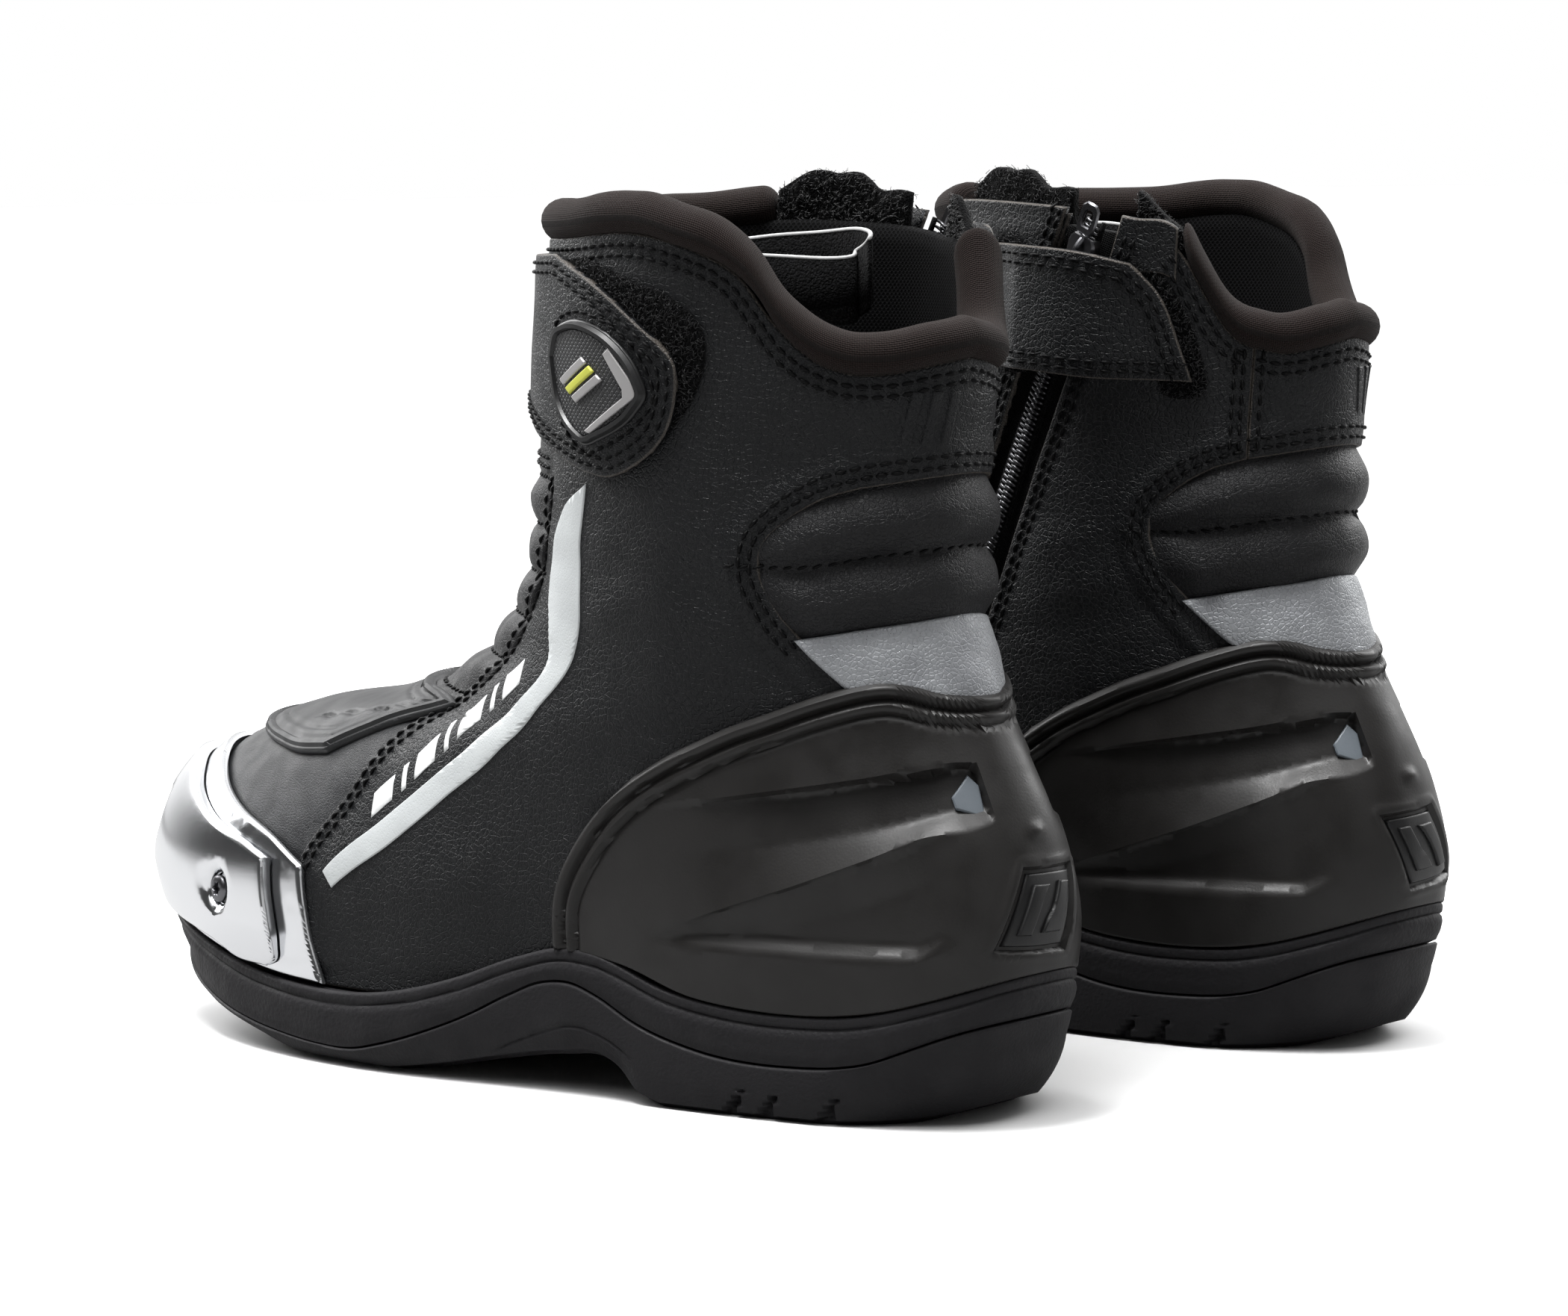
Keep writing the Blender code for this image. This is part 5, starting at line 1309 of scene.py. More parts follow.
def toe_slider_base():
    def shape(base, near, angle, v):
        return 4.75 - 0.35 * np.exp(-((near - 3.4) / 0.5) ** 2)
    return patch(slider_runs(), 2.7, shape, spacing=2.0, step=1.5, bevel=1.3)


def toe_slider_plate():
    upper = [(-7, 67), (8, 70.5), (24.5, 68.8), (35.5, 64), (47.5, 58.3), (56, 55), (61, 52.3)]
    rear = [(61, 52.3), (61.5, 46.3), (61.5, 30.2), (60, 25.8), (57.5, 24)]
    low = [(57.5, 24), (51.5, 24.6), (46.5, 29.1), (43, 30.6), (30, 33.8), (15, 37.5), (-3, 40)]
    front = [(-3, 40), (-9, 50), (-11, 60), (-7, 67)]
    crease = smooth_run([(68, 33.5), (61.5, 34.5), (55, 36.0), (43, 38.5), (23, 45.3), (5, 49.5),
                         (-16, 51)], 1.5)
    crease_line = skin(*crease.T)
    holes = [circle_on_skin(*SCREWS[k], 4.15) for k in (0, 1)]
    wells = [circle_on_skin(*SCREWS[k], r) for k in (0, 1) for r in (5.0, 6.0, 7.2)]
    centres = [screw_centre(k)[0] for k in (0, 1)]
    tips = []
    for (a, z), c in zip(SCREWS, centres):
        spot = radians(a - 6.0)
        aim = skin(spot, level(spot, z + 2.2)) - c
        tips.append(c + aim / np.linalg.norm(aim) * 6.5)

    def shape(base, near, angle, v):
        below = np.interp(np.degrees(angle), np.degrees(crease[::-1, 0]), crease[::-1, 1]) > v
        away = distance_to(base, crease_line, False)
        out = 8.5 - np.where(below, np.minimum(away * 0.2, 2.6), 0.0)
        for c, tip in zip(centres, tips):
            share = np.clip((base - c) @ (tip - c) / ((tip - c) ** 2).sum(), 0, 1)
            r = np.linalg.norm(base - c - share[:, None] * (tip - c), axis=1)
            out -= np.clip(6.6 - share * 2.6 - r, 0, 2.4) * 0.85 * (1 - 0.75 * share)
        return out
    lines = [crease] + [closed(w) for w in wells]
    return patch([upper, rear, low, front], 5.2, shape, spacing=1.5, step=1.2, bevel=1.1, holes=holes,
                 lines=lines)


def toe_screw(index):
    """Domed screw head with a six-lobed recess."""
    foot, out = screw_centre(index)
    first = np.cross(out, (0, 0, 1.0))
    first /= np.linalg.norm(first)
    second = np.cross(out, first)
    count = 72
    w = np.linspace(0, 2 * pi, count, endpoint=False)
    lobe = 1.75 + 0.3 * np.cos(6 * w)
    rows = []
    for radius, height in ((1.9, 3.2), (3.4, 5.6), (3.75, 6.5), (3.7, 6.9), (3.4, 7.25), (2.9, 7.5),
                           (2.3, 7.65)):
        rows.append(foot + (first * np.cos(w)[:, None] + second * np.sin(w)[:, None]) * radius + out * height)
    for scale, height in ((1.05, 7.68), (0.97, 7.5), (0.93, 6.3), (0.4, 6.1)):
        rows.append(foot + (first * np.cos(w)[:, None] + second * np.sin(w)[:, None])
                    * (lobe * scale)[:, None]
                    + out * height)
    return {"verts": np.concatenate(rows), "faces": closed_tube(len(rows), count)}


def shift_pad():
    upper = [(60, 95.4), (56.5, 96.2), (30, 97), (0, 97.5), (-24, 97), (-46, 94.5)]
    lower = [(-44, 79), (-20, 81), (0, 82), (20, 80.5), (40, 78.5), (49.5, 78), (55, 79.1)]
    runs = [[lower[-1], upper[0]], upper, [upper[-1], lower[0]], lower]
    slots = []
    for a, z in ((41.5, 85.2), (46, 87), (50.5, 89), (52.5, 91), (54, 93)):
        for sense in (1, -1):
            corners = [(a - 4.6, z - 0.2), (a, z), (a, z + 1.1), (a - 4.6, z + 0.9), (a - 4.6, z - 0.2)]
            if sense < 0:
                corners = [(-0.8 * b, c) for b, c in reversed(corners)]
            slots.append(polygon(corners, 0.8))

    def shape(base, near, angle, v):
        out = 3.6 + 1.0 * smooth(1.0, 1.6, near) * smooth(3.3, 2.7, near)
        out += 0.35 * smooth(4.4, 5.0, near)
        out -= 0.5 * np.exp(-((near - 7.4) / 0.5) ** 2)
        for loop in slots:
            out -= 0.9 * smooth(-0.2, 0.4, signed(base, angle, v, loop))
        return out
    return patch(runs, 1.9, shape, spacing=1.3, step=1.2, bevel=0.6,
                 rings=(0.3, 0.6, 1.0, 1.6, 2.2, 2.8, 3.4, 4.5, 5.1),
                 lines=[closed(loop) for loop in slots])


# ---- knit roll and lining ----
def collar():
    start, stop = -56.0, 236.0
    steps = 460
    sides = 22
    angles = np.radians(np.linspace(start, stop, steps))
    v = level(angles, np.array([rim(a) for a in np.linspace(start, stop, steps)]))
    out = normal(angles, v) * (1, 1, 0)
    out /= np.linalg.norm(out, axis=1, keepdims=True)
    centre = skin(angles, v) + out * -1.8
    walk = arc(centre)
    end = np.minimum(walk, walk[-1] - walk)
    size = np.sqrt(np.clip(1 - (1 - np.clip(end / 5.0, 0, 1)) ** 2, 0.01, 1))
    tube_rows = []
    uv = []
    for k in range(sides):
        w = 2 * pi * k / sides
        tube_rows.append(centre + out * (6.3 * cos(w) * size)[:, None]
                         + np.array([0, 0, 1.0]) * (5.7 * sin(w) * size)[:, None])
        uv.append(np.stack([walk, np.full(steps, 36.0 * k / sides)], 1))
    verts = np.stack(tube_rows, 1)
    bulge = lumps(verts.reshape(-1, 3), 16.0, 2.2).reshape(steps, sides, 1) * 0.35
    spread = verts - centre[:, None]
    verts = verts + spread / np.linalg.norm(spread, axis=2, keepdims=True) * bulge
    faces = closed_tube(steps, sides, False)
    return {"verts": verts.reshape(-1, 3), "faces": faces, "uv": np.stack(uv, 1).reshape(-1, 2)}


def lining():
    turns = np.linspace(0, 2 * pi, 181)[:-1]
    size = len(turns)
    floor = seat(skin(turns, SOLE_V + 0 * turns)[:, 1])
    head = np.array([rim(degrees(t)) for t in turns])
    rows = [ring(floor + 4.6, np.full(size, -4.4), turns)]
    for share in np.linspace(0.06, 1, 16):
        z = floor + 4.6 + (head - 5.5 - floor - 4.6) * share
        rows.append(surface(turns, level(turns, z), -4.4 + 0 * z))
    rows.append(surface(turns, level(turns, head - 3.4), -5.2 + 0 * head))
    for share in np.linspace(1, 0.03, 46):
        z = floor + 7.0 + (head - 4.4 - floor - 7.0) * share
        v = level(turns, z)
        base = skin(turns, v)
        puff = 0.5 * lumps(base, 30.0, 4.4)
        rows.append(surface(turns, v, -6.9 + puff))
    rows.append(ring(floor + 6.8, np.full(size, -6.8), turns))
    verts = np.concatenate(rows)
    around = arc(skin(turns, 0.8 + 0 * turns))
    uv = np.stack([np.tile(around, len(rows)), verts[:, 2]], 1)
    shell = stacked(rows)
    shell["uv"] = uv
    return shell


# ---- zip ----
def track():
    """Start and end of the zip's middle line, its direction, the way out and the way across."""
    ends = []
    for y, z in (ZIP_TOP, ZIP_END):
        a = radians(at_side(y, z, -1)[0])
        ends.append(surface(a, level(a, z), 0.6))
    way = ends[1] - ends[0]
    way /= np.linalg.norm(way)
    out = np.array([-1.0, 0, 0])
    out -= way * out.dot(way)
    out /= np.linalg.norm(out)
    return ends[0], ends[1], way, out, np.cross(way, out)


def zip_tape():
    front, foot, back = zip_sides(ZIP_SLOT + 2.5, ZIP_SLOT)
    front[0] = (front[0][0], rim(front[0][0], 4.0))
    back[-1] = (back[-1][0], rim(back[-1][0], 4.0))
    shape = patch([front, foot, back, [back[-1], front[0]]], -2.7, -0.9, spacing=2.4, bevel=0.4)
    flat = shape["verts"][:, 1:] - ZIP_TOP
    shape["uv"] = np.stack([flat @ ZIP_WAY, flat @ ZIP_SQUARE], 1)
    return shape


def zip_coil():
    """Two rows of bent teeth that mesh along the middle, on a cord each side."""
    start, stop, way, out, across = track()
    length = np.linalg.norm(stop - start)
    shapes = []
    pitch = 1.55
    for k in range(int((length - 2) / pitch)):
        for side in (-1, 1):
            at = start + way * (1.0 + (k + (0.5 if side > 0 else 0.0)) * pitch)
            path = [at + across * side * a + out * h + way * side * w for a, h, w in
                    ((-0.65, 0.55, 0.0), (-0.45, 1.05, 0.0), (0.6, 1.3, 0.05), (1.8, 1.2, 0.25),
                     (2.3, 0.7, 0.4), (2.25, 0.2, 0.45))]
            shapes.append(tube(path, (0.42, 0.5, 0.46, 0.46, 0.42, 0.3), 6))
    return joined(shapes)


def zip_bed():
    """Woven core and sewing line on either side of the teeth."""
    start, stop, way, out, across = track()
    steps = np.linspace(0, np.linalg.norm(stop - start), 60)
    shapes = []
    for side in (-1, 1):
        path = [start + way * s + across * side * 2.75 + out * -0.1 for s in steps]
        shapes.append(tube(path, 0.75, 8))
    return joined(shapes)


def zip_slider():
    start, _, way, out, across = track()
    rows = []
    for s, wide in ((5.0, 3.4), (6.2, 4.4), (8.0, 4.6), (11.0, 4.2), (13.2, 3.4), (14.0, 2.6)):
        outline = [(-wide, 0.3), (-2.8, 0.3), (-2.8, 2.2), (2.8, 2.2), (2.8, 0.3), (wide, 0.3), (wide, 2.9),
                   (wide - 0.7, 3.5), (-wide + 0.7, 3.5), (-wide, 2.9)]
        rows.append([start + way * s + across * a * (1 if abs(a) != 2.8 else min(1, wide / 3.0)) + out * b
                     for a, b in outline])
    size = len(rows[0])
    body = {"verts": np.concatenate(rows), "faces": closed_tube(len(rows), size, False)}
    lug = [start + way * (5.6 + 6.0 * k) + out * (3.3 + 1.5 * sin(pi * k)) for k in np.linspace(0, 1, 9)]
    return joined([body, tube(lug, 0.75, 8, 1.2)])


def zip_pull():
    start, _, way, out, across = track()
    foot = start + way * 3.9 + out * 3.6
    outline = [(-2.2, -0.3), (2.2, -0.3), (3.0, 1.0), (3.2, 4.0), (3.0, 7.2), (1.6, 8.6), (-1.6, 8.6),
               (-3.0, 7.2), (-3.2, 4.0), (-3.0, 1.0)]
    eye = [(-1.2, 1.6), (1.2, 1.6), (1.7, 2.6), (1.8, 4.0), (1.5, 5.8), (0.8, 6.6), (-0.8, 6.6), (-1.5, 5.8),
           (-1.8, 4.0), (-1.7, 2.6)]
    size = len(outline)
    rows = []
    for ring_points, height, grow in ((outline, -0.35, 0.9), (outline, 0.0, 1.0), (outline, 0.35, 0.9),
                                      (eye, 0.35, 1.0), (eye, 0.0, 0.9), (eye, -0.35, 1.0)):
        rows.append([foot + across * a * grow - way * (4.2 + (b - 4.2) * grow) + out * height * 1.6
                     for a, b in ring_points])
    points = np.array([p for row in rows for p in row])
    faces = []
    for k in range(6):
        n = (k + 1) % 6
        for i in range(size):
            j = (i + 1) % size
            faces.append((k * size + i, k * size + j, n * size + j, n * size + i))
    return {"verts": points, "faces": faces}


# ---- closures ----
FLAP_ROOT = ((47.0, 182.0), (47.0, 215.0))
STRAP_ROOT = -36.0


def flap_distance(angle, v):
    return np.interp(-np.degrees(angle), (70, 78, 86, 106, 118, 130), (2.7, 3.5, 7.6, 7.6, 4.8, 4.2))


FLAP_LOW, FLAP_HIGH = (at_side(y, z, -1) for y, z in FLAP_ROOT)
FLAP_TOP = [FLAP_HIGH, (-90, 214.5), (-103, 213), (-113, 210)]
FLAP_END = [(-113, 210), (-120, 201), (-125, 188), (-128.5, 178.5)]
FLAP_BOTTOM = [(-128.5, 178.5), (-105, 180), (-90, 181.5), FLAP_LOW]


def zip_flap():
    def shape(base, near, angle, v):
        return flap_distance(angle, v) + 1.7 + 0.3 * lumps(base, 18.0, 6.6) + 0.2 * smooth(0, 6, near)
    return patch([[FLAP_LOW, FLAP_HIGH], FLAP_TOP, FLAP_END, FLAP_BOTTOM], flap_distance, shape,
                 spacing=2.2, bevel=0.6)


STRAP_TOP = [(STRAP_ROOT, 213), (0, 213.8), (37, 214.4), (58, 214.9)]
STRAP_SLOPE = [(58, 214.9), (75.5, 208.1), (95.5, 193.9)]
STRAP_END = [(95.5, 193.9), (100, 188.1), (100.5, 180.7), (98.5, 171), (91, 162.7), (84.5, 159.8),
             (76, 160.7)]
STRAP_LOW = [(76, 160.7), (60, 165.4), (35, 172.8), (0, 175), (STRAP_ROOT, 176)]


def strap():
    def shape(base, near, angle, v):
        return 5.45 + 0.3 * lumps(base, 22.0, 1.6) + 0.25 * smooth(0, 6, near)
    return patch([[(STRAP_ROOT, 176), (STRAP_ROOT, 213)], STRAP_TOP, STRAP_SLOPE, STRAP_END, STRAP_LOW],
                 3.7, shape,
                 spacing=2.4, bevel=0.6)


BADGE = [(60, 189.4), (62, 195.9), (67, 198.3), (79, 197.3), (84, 194.7), (92.5, 184.8), (94, 180.7),
         (91.5, 175.9), (81.5, 168.9), (77, 167.4), (73.5, 169), (65.5, 176.3), (60, 189.4)]


def strap_badge():
    """Moulded plate: a smooth raised rim round a lower field."""
    def shape(base, near, angle, v):
        return 6.5 + 1.2 * smooth(0.5, 1.1, near) * smooth(2.7, 2.1, near)
    return patch(closed_loop([BADGE], 1.0), 5.7, shape, spacing=1.4, bevel=0.5,
                 rings=(0.25, 0.5, 0.8, 1.1, 1.6, 2.1, 2.7))


def badge_field():
    return patch(shift(closed_loop([BADGE], 1.0), 2.5, True), 6.0, 7.0, spacing=1.4, bevel=0.3)


def badge_mark():
    """A bent silver bar along the badge's outer corner, and short slanted bars, one of them lime."""
    bend = [(84, 192.3), (91.6, 183.2), (92.2, 180.2), (79.5, 170.6), (77.6, 171.2), (88.6, 180.0),
            (88.4, 182.0), (82.4, 190.6), (84, 192.3)]
    pale = [patch(polygon(bend, 0.8), 6.4, 7.7, spacing=1.2, bevel=0.35)]
    corner, wide, tall = np.array((66.8, 183.4)), np.array((7.0, -5.6)), np.array((9.0, 6.6))
    lime = None
    for k, (low, high) in enumerate(((0.0, 0.26), (0.37, 0.63), (0.74, 1.0))):
        points = [corner + wide * a + tall * b for a, b in ((low, 0.05), (high, 0.05), (high, 0.95),
                                                            (low, 0.95),
                                                            (low, 0.05))]
        bar = patch(polygon([tuple(p) for p in points], 0.8), 6.4, 7.65, spacing=1.2, bevel=0.35)
        if k == 1:
            lime = bar
        else:
            pale.append(bar)
    return joined(pale), lime


# ---- loop fastener ----
def tufts(loop, distance, count, seed, size=0.75):
    """Small curled fibres standing on a patch of the skin, inside a loop of (radians, v) points."""
    rng = np.random.default_rng(seed)
    low, high = loop.min(0), loop.max(0)
    spots = low + (high - low) * rng.random((count * 3, 2))
    spots = spots[inside(spots, loop)][:count]
    height = distance(*spots.T) if callable(distance) else distance
    foot = surface(*spots.T, height)
    out = normal(*spots.T)
    way = np.cross(out, rng.normal(size=(len(spots), 3)))
    way /= np.linalg.norm(way, axis=1, keepdims=True)
    side = np.cross(out, way)
    tall = size * rng.uniform(0.5, 1.3, (len(spots), 1))
    reach = size * rng.uniform(0.5, 1.5, (len(spots), 1))
    path = []
    for s in (-1.0, -0.35, 0.35, 1.0):
        path.append(foot + way * reach * s + out * tall * (1 - s * s) * 1.1 + side * reach * 0.3 * s * s)
    verts = []
    for k, centre in enumerate(path):
        for w in (0.0, 2.1, 4.2):
            verts.append(centre + 0.09 * (out * cos(w) + side * sin(w)))
    verts = np.stack(verts, 1).reshape(-1, 3)
    base = grid_faces(4, 3) + [(2, 1, 0), (9, 10, 11)]
    return {"verts": verts, "faces": [tuple(i + n * 12 for i in f) for n in range(len(spots)) for f in base]}


LOOP_PATCH = [(60, 213), (64.5, 214), (86, 208.9), (98, 203.9), (105.5, 195.6), (106, 188.2), (104.5, 181.6),
              (98, 169.6), (84, 166), (70, 172), (60, 190), (60, 213)]
LOOP_RUNS = [LOOP_PATCH[:8], LOOP_PATCH[7:]]


def loop_patch():
    def shape(base, near, angle, v):
        return 3.1 + 0.18 * lumps(base, 1.3, 3.0)
    return patch(closed_loop(LOOP_RUNS, 1.6), 1.8, shape, spacing=1.7, bevel=0.4)


FLAP_LOOPS = ([(-111, 212.5), (-119.5, 206.5), (-126, 196), (-130.5, 184), (-132, 176), (-122, 174.5),
               (-117, 190),
               (-106, 206), (-111, 212.5)],
              [(-73.5, 218.0), (-81, 217.6), (-84, 200), (-86, 181), (-80.5, 180.5), (-77, 199),
               (-73.5, 218.0)])


def flap_patches():
    def shape(base, near, angle, v):
        return 3.0 + 0.18 * lumps(base, 1.3, 3.0)
    return joined([patch(closed_loop([points], 1.6), 1.8, shape, spacing=1.7, bevel=0.4)
                   for points in FLAP_LOOPS])


def throat_facings():
    """Loop fastener inside the rim on both sides of the zip, standing a little above it."""
    front, _, back = zip_sides(ZIP_SLOT + 1.0, 5)
    shapes = []
    for start, stop, tops in ((-56.0, front[0][0] + 1.0, ((56, 229.5), (62, 234), (70, 234.5), (80, 233),
                                                          (86, 229))),
                              (back[-1][0] - 2.0, -129.0, ((90, 231), (103, 230), (113, 227), (122, 219),
                                                           (129, 210)))):
        angles = np.linspace(start, stop, 13)
        low = [(a, rim(a, 24.0 + 3.0 * sin(9.0 * radians(a)))) for a in angles]
        high = [(a, float(along(tops, -a)) + 0.5 * sin(31.0 * radians(a))) for a in angles]
        shapes.append([low, [low[-1], high[-1]], high[::-1], [high[0], low[0]]])
    return shapes


def gusset():
    """Dark folded cloth inside the inner wall, and the pale cord along its top edge."""
    keys = np.array([(-15, 33, 216.5), (-22, 44, 217.9), (-27.5, 55, 218.6), (-28.5, 66, 219.4),
                     (-26, 73, 218.6),
                     (-24, 74.5, 216.9), (-26, 71, 215.2), (-27, 67.5, 213.8), (-24.5, 68, 212.4),
                     (-20.5, 63, 212.0),
                     (-16.5, 52, 212.6), (-12, 43, 213.2)], float)
    line = spline(np.arange(len(keys)), keys, np.linspace(0, len(keys) - 1, 90))
    run = np.gradient(line, axis=0)
    side = np.cross(run, (0, 0, 1.0))
    side /= np.linalg.norm(side, axis=1, keepdims=True)
    drop = np.array([0, 0, 1.0])
    rows = []
    for across_by, down in ((0.5, 0.0), (0.5, 8.0), (0.5, 17.0), (-0.5, 17.0), (-0.5, 8.0), (-0.5, 0.0)):
        rows.append(line + side * across_by - drop * down)
    verts = np.stack(rows, 1)
    return {"verts": verts.reshape(-1, 3), "faces": closed_tube(len(line), 6)}, tube(line + drop * 0.2, 0.6,
            8)


def emboss():
    """Plain raised bars on the back of the shaft."""
    bars = []
    for k in range(3):
        a = 152.8 + 6.9 * k
        points = [(a, 163.0), (a + 4.2, 163.0), (a + 8.6, 181.0), (a + 4.4, 181.0), (a, 163.0)]
        bars.append(patch(polygon(points, 1.2), 1.0, laid(0.3), spacing=1.6, bevel=0.6))
    return joined(bars)


# ---- build every piece ----
emit("outsole", outsole(), M_RUBBER, replaces=["outsole"], crease=50)
emit("midsole", midsole(), M_MIDSOLE, replaces=["midsole"], crease=60)
emit("footbed", footbed(), M_FOAM, replaces=["footbed"])
emit("backing", backing(), M_BACKING)
emit("lining", lining(), M_MESH, replaces=["lining"])

VAMP = vamp()
OUTER = lateral_quarter()
INNER = medial_quarter()
BANDS = medial_bands()
FOLDS, CREASES = front_accordion()
REAR, REAR_CREASE = rear_accordion()
STRIP = reflective_strip()
RIB = reflective_rib()
STRAP = strap()
FLAP = zip_flap()

emit("vamp", VAMP, M_VAMP, replaces=["vamp"])
emit("lateral_quarter", OUTER, M_EDGED, replaces=["lateral_quarter"])
emit("medial_quarter", INNER, M_EDGED, replaces=["medial_quarter"])
for index, band in enumerate(BANDS):
    emit(f"rim_facing_{index + 1}", band, M_EDGED)
emit("front_accordion", FOLDS, M_RIB, replaces=["front_accordion"])
emit("rear_accordion", REAR, M_RIB, replaces=["rear_accordion"])
emit("reflective_strip", STRIP, M_SILVER, replaces=["reflective_strip"])
emit("reflective_rib", RIB, M_SPARKLE, replaces=["reflective_rib"])
emit("heel_cup", heel_cup(), M_CUP, replaces=["heel_cup"], crease=40)
emit("heel_badge", heel_badge(), M_BADGE, replaces=["heel_badge"], crease=40)
emit("cup_insert", cup_insert(), M_GREY)
emit("print_bars", print_bars(), M_WHITE)
emit("toe_slider_base", toe_slider_base(), M_CHROME, replaces=["toe_slider_base"], crease=45)
emit("toe_slider_plate", toe_slider_plate(), M_CHROME, replaces=["toe_slider_plate"],
     crease=32)
for index, word in enumerate(("rear", "front")):
    emit(f"toe_screw_{word}", toe_screw(index), M_STEEL, replaces=[f"toe_screw_{word}"],
         crease=45)
emit("shift_pad", shift_pad(), M_PAD, replaces=["shift_pad"], crease=50)
emit("collar", collar(), M_KNIT, replaces=["collar"])
emit("emboss", emboss(), M_LEATHER)

emit("zip_tape", zip_tape(), M_TAPE, replaces=["zip_tape"])
emit("zip_teeth", zip_coil(), M_TEETH, replaces=["zip_coil"])
emit("zip_cord", zip_bed(), M_TAPE_CORD)
emit("zip_slider", zip_slider(), M_STEEL, "zip_runner", ["zip_slider"], crease=40)
emit("zip_pull", zip_pull(), M_STEEL, "zip_tab", ["zip_pull"], crease=40)
emit("zip_flap", FLAP, M_EDGED, "closure_flap", ["zip_flap"])
emit("flap_loops", flap_patches(), M_FUZZ)
emit("strap", STRAP, M_EDGED, "closure_strap", ["strap"])
emit("strap_loops", loop_patch(), M_FUZZ)
emit("strap_fibres", tufts(closed_loop(LOOP_RUNS, 2.0), 3.1, 3200, 11), M_FIBRE)
fibres = [tufts(closed_loop([points], 2.0), 3.0, 1100, 12 + k) for k, points in enumerate(FLAP_LOOPS)]
emit("flap_fibres", joined(fibres), M_FIBRE)
facings = [closed_loop(runs, 2.0) for runs in throat_facings()]
emit("throat_facings", joined([patch(loop, -4.2, -1.4, spacing=2.0, bevel=0.8) for loop in facings]), M_FUZZ)
fibres = [tufts(loop, -4.2, 1500, 21 + k, -0.9) for k, loop in enumerate(facings)]
fibres += [tufts(loop, -1.4, 900, 31 + k) for k, loop in enumerate(facings)]
emit("throat_fibres", joined(fibres), M_FIBRE)
FOLD, CORD = gusset()
emit("gusset", FOLD, M_FUZZ)
emit("gusset_piping", CORD, M_PIPING)
emit("strap_badge", strap_badge(), M_BADGE, "closure_strap", ["strap_badge"], crease=45)
emit("badge_field", badge_field(), M_KNURL, "closure_strap")
PALE_BARS, LIME_BAR = badge_mark()
emit("badge_bars", PALE_BARS, M_PALE, "closure_strap")
emit("badge_accent", LIME_BAR, M_LIME, "closure_strap")

# ---- stitching ----
def sew(name, paths, tree, body="boot", **more):
    emit(name + "_stitches", stitches(paths, tree, **more), M_THREAD, body)


def rim_run(start, stop, count):
    return [(a, rim(a, SEAM_DROP)) for a in np.linspace(start, stop, count)]


LAYERS = tree_of(VAMP, OUTER, INNER, FOLDS, REAR, STRIP, RIB, *BANDS)
rows = offset_rows(FRONT_EDGE, (-1.8, -4.3)) + offset_rows(mirrored(FRONT_EDGE), (-1.8, -4.3))
sew("vamp", rows, LAYERS)
rows = offset_rows(SHIN_SEAM, (-2.0, -4.6)) + offset_rows(mirrored(SHIN_SEAM), (-2.0, -4.6))
rows += offset_rows(CUFF_LINE, (-2.0, -4.4))
sew("shin", rows, LAYERS)
window = HEEL_WINDOW + WINDOW_TOP[1:]
other_window = WINDOW_TOP[-1:] + across(HEEL_WINDOW[-2::-1])
rows = offset_rows(window, (2.4, 5.0)) + offset_rows(other_window, (2.4, 5.0))
sew("window", rows, LAYERS)
rows = offset_rows(rim_run(FRONT_SEAM + 1, BACK_SEAM - 1, 40), (-3.0, -5.6))
rows += offset_rows(rim_run(-BAND_ENDS[0], FRONT_SEAM - 1, 12), (-2.6, -5.2))
rows += offset_rows(rim_run(BACK_SEAM - 359, -BAND_ENDS[1], 10), (-2.6, -5.2))
sew("rim", rows, LAYERS)
back_top = rim(BACK_SEAM, SEAM_DROP)
rows = offset_rows([(BACK_SEAM, 159), (BACK_SEAM, back_top)], (2.4, -2.4, -4.6))
rows += offset_rows([(FRONT_SEAM, 160), (FRONT_SEAM, rim(FRONT_SEAM, SEAM_DROP))], (2.4, -2.4))
sew("shaft", rows, LAYERS)
front, foot, back = zip_sides(ZIP_SLOT, ZIP_SLOT * 0.8)
rows = offset_rows(front, (2.0, 4.4)) + offset_rows(foot, (2.0,)) + offset_rows(back, (2.0, 4.4))
sew("zip", rows, LAYERS)
sew("fold", CREASES + [REAR_CREASE], LAYERS, radius=0.42, twist=0.35)
rows = [shift(smooth_run(run, 1.5), -amount) for amount in (2.2, 4.6)
        for run in (STRAP_TOP, STRAP_SLOPE, STRAP_END, STRAP_LOW)]
rows.append(shift(closed_loop([BADGE], 1.4), -1.9, True))
sew("strap", rows, tree_of(STRAP), "closure_strap")
rows = [shift(smooth_run(run, 1.5), amount) for amount in (2.2, 4.6)
        for run in (FLAP_TOP, FLAP_END, FLAP_BOTTOM)]
sew("flap", rows, tree_of(FLAP), "closure_flap")

# ---- CAD pieces that stay ----
KEPT = {"shank": M_STEEL, "insole_board": M_BOARD, "toe_puff": M_PAD, "heel_counter": M_PAD}
for name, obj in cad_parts.items():
    for word, finish in KEPT.items():
        if name.endswith("_" + word):
            obj.data.materials.clear()
            obj.data.materials.append(finish)

# ---- floor, light and camera ----
def stage():
    mesh = bpy.data.meshes.new("floor")
    mesh.from_pydata([(-40, -40, 0), (40, -40, 0), (40, 40, 0), (-40, 40, 0)], [], [(0, 1, 2, 3)])
    white = Shader("floor_white", (0.86, 0.86, 0.86), 0.9, Specular_IOR_Level=0.1)
    seen = white.node("ShaderNodeLightPath").outputs["Is Camera Ray"]
    white.set("Base Color", white.mix(seen, (0.3, 0.3, 0.3), (0.88, 0.88, 0.88)))
    mesh.materials.append(white.material)
    floor = bpy.data.objects.new("floor", mesh)
    bpy.context.collection.objects.link(floor)


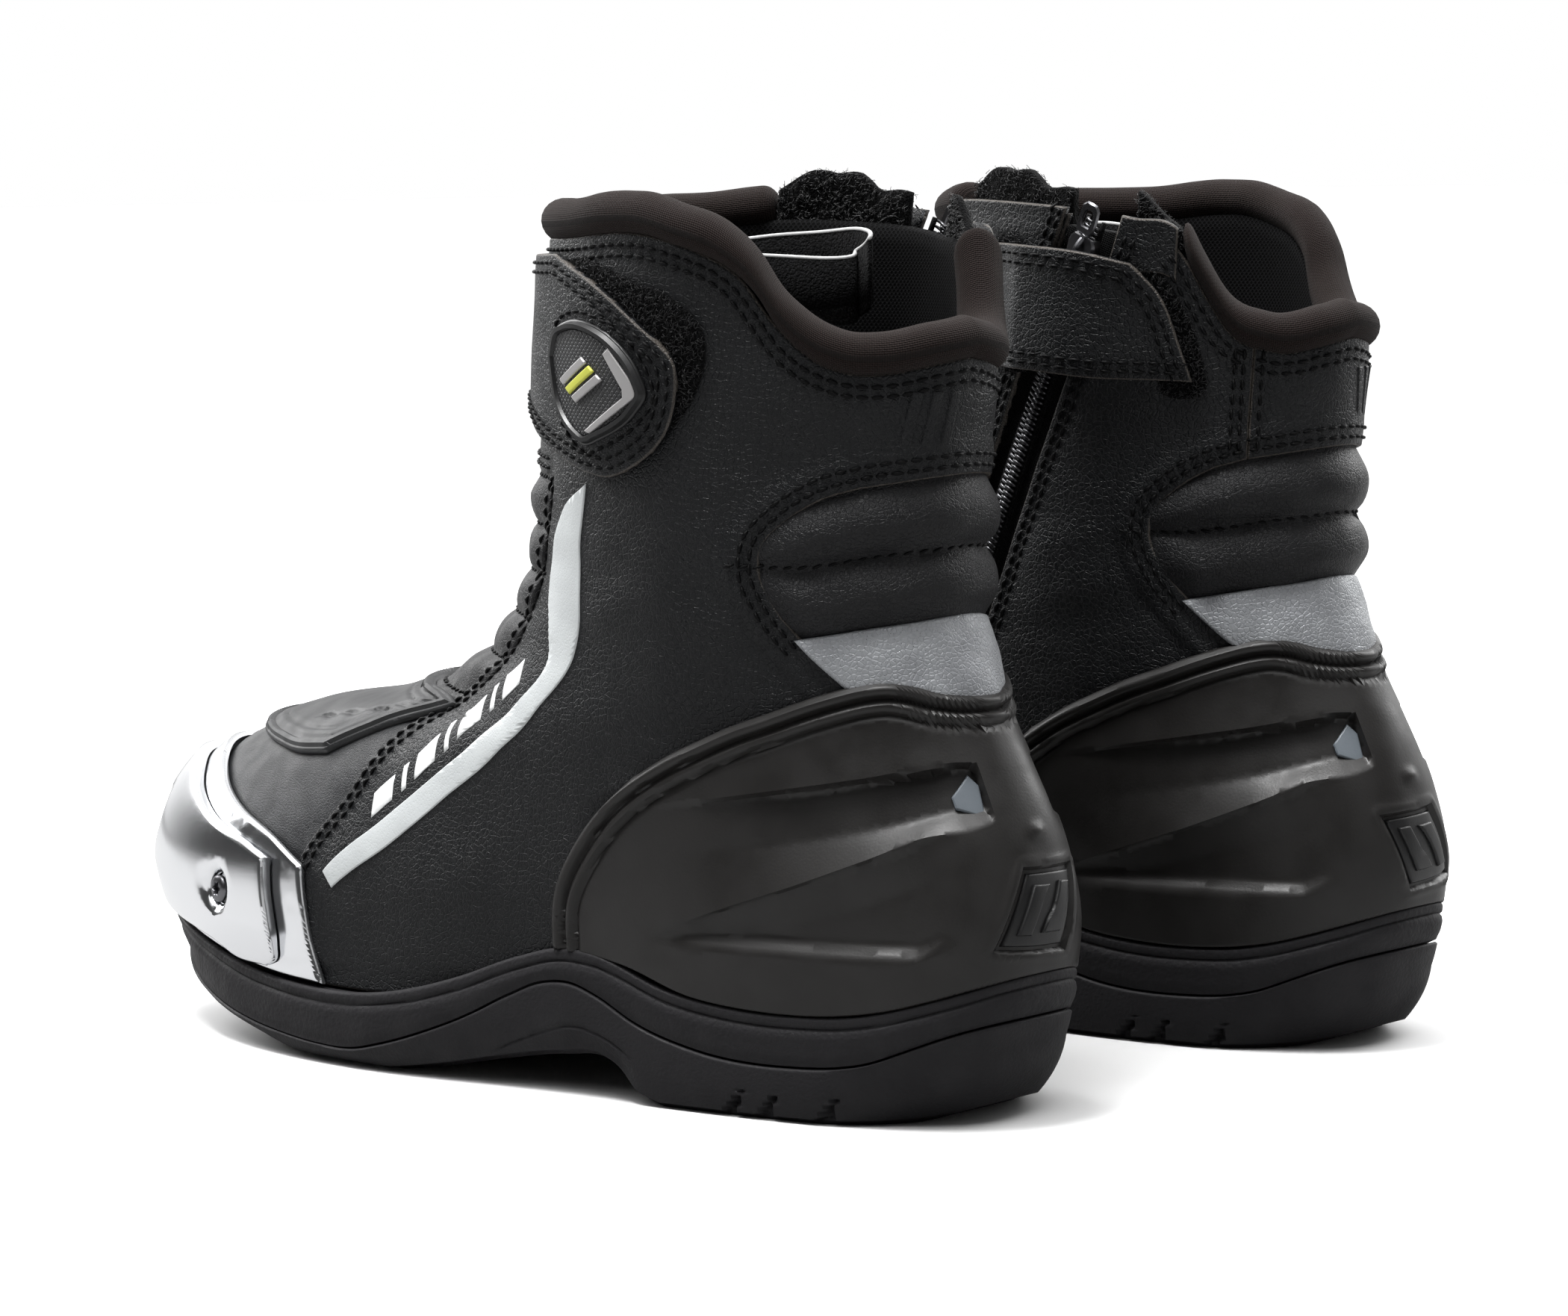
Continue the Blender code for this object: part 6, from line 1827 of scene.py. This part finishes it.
def light(name, place, aim, size, power):
    data = bpy.data.lights.new(name, "AREA")
    data.shape = "RECTANGLE"
    data.size = data.size_y = size
    data.energy = power
    obj = bpy.data.objects.new(name, data)
    bpy.context.collection.objects.link(obj)
    obj.location = place
    obj.rotation_euler = (Vector(aim) - Vector(place)).to_track_quat("-Z", "Y").to_euler()


stage()
PHI = 0.7321            # direction of the camera round the boots, from +X, in radians
PITCH_DOWN = 0.1038
ROLL = -0.016
CAMERA_PLACE = (0.9488, 0.8501, 0.2339)
LENS = 106.5
TOWARD = np.array([cos(PHI), sin(PHI), 0.0])
TO_RIGHT = np.array([-sin(PHI), cos(PHI), 0.0])

world = bpy.data.worlds.new("studio")
world.use_nodes = True
nodes = world.node_tree.nodes
wires = world.node_tree.links
backdrop = nodes["Background"]
backdrop.inputs["Color"].default_value = (1, 1, 1, 1)
sky = nodes.new("ShaderNodeTexCoord").outputs["Generated"]
bright_side = Vector(TO_RIGHT * 0.3 - TOWARD * 0.9 + np.array([0, 0, 0.2])).normalized()
facing = nodes.new("ShaderNodeVectorMath")
facing.operation = "DOT_PRODUCT"
facing.inputs[1].default_value = bright_side
wires.new(sky, facing.inputs[0])
dome = nodes.new("ShaderNodeMapRange")
dome.interpolation_type = "SMOOTHSTEP"
for socket, value in (("From Min", 0.15), ("From Max", 0.9), ("To Min", 0.05), ("To Max", 1.2)):
    dome.inputs[socket].default_value = value
wires.new(facing.outputs["Value"], dome.inputs["Value"])
share = nodes.new("ShaderNodeMix")
share.inputs[3].default_value = 1.0
wires.new(nodes.new("ShaderNodeLightPath").outputs["Is Camera Ray"], share.inputs[0])
wires.new(dome.outputs["Result"], share.inputs[2])
wires.new(share.outputs[0], backdrop.inputs["Strength"])
bpy.context.scene.world = world

sun = bpy.data.lights.new("sky_light", "SUN")
sun.energy = 2.9
sun.angle = radians(75)
overhead = bpy.data.objects.new("sky_light", sun)
bpy.context.collection.objects.link(overhead)
for name, ahead, across, height, size, power in (
        ("key", 0.9, -1.3, 1.5, 1.0, 4.0), ("fill", 1.4, 1.0, 0.8, 1.0, 1.5),
        ("top", 0.2, -0.3, 1.5, 0.5, 30.0),
        ("rim_left", -0.9, -1.1, 0.9, 0.9, 18.0), ("rim_right", -0.9, 1.1, 0.9, 0.9, 14.0)):
    place = TOWARD * ahead + TO_RIGHT * across + np.array([0, 0, height])
    light(name, tuple(place), (0, 0, 0.1), size, power)

gaze = np.array([*(-TOWARD[:2] * cos(PITCH_DOWN)), -sin(PITCH_DOWN)])
upward = np.cross(TO_RIGHT, gaze)
camera = bpy.data.cameras.new("camera")
camera.sensor_width = 36.0
camera.lens = LENS
camera.clip_end = 100
viewer = bpy.data.objects.new("camera", camera)
bpy.context.collection.objects.link(viewer)
viewer.location = CAMERA_PLACE
axes = (TO_RIGHT * cos(ROLL) + upward * sin(ROLL), upward * cos(ROLL) - TO_RIGHT * sin(ROLL), -gaze)
viewer.rotation_euler = Matrix([[float(axis[row]) for axis in axes] for row in range(3)]).to_euler()
bpy.context.scene.camera = viewer
bpy.context.scene.view_settings.view_transform = "Standard"
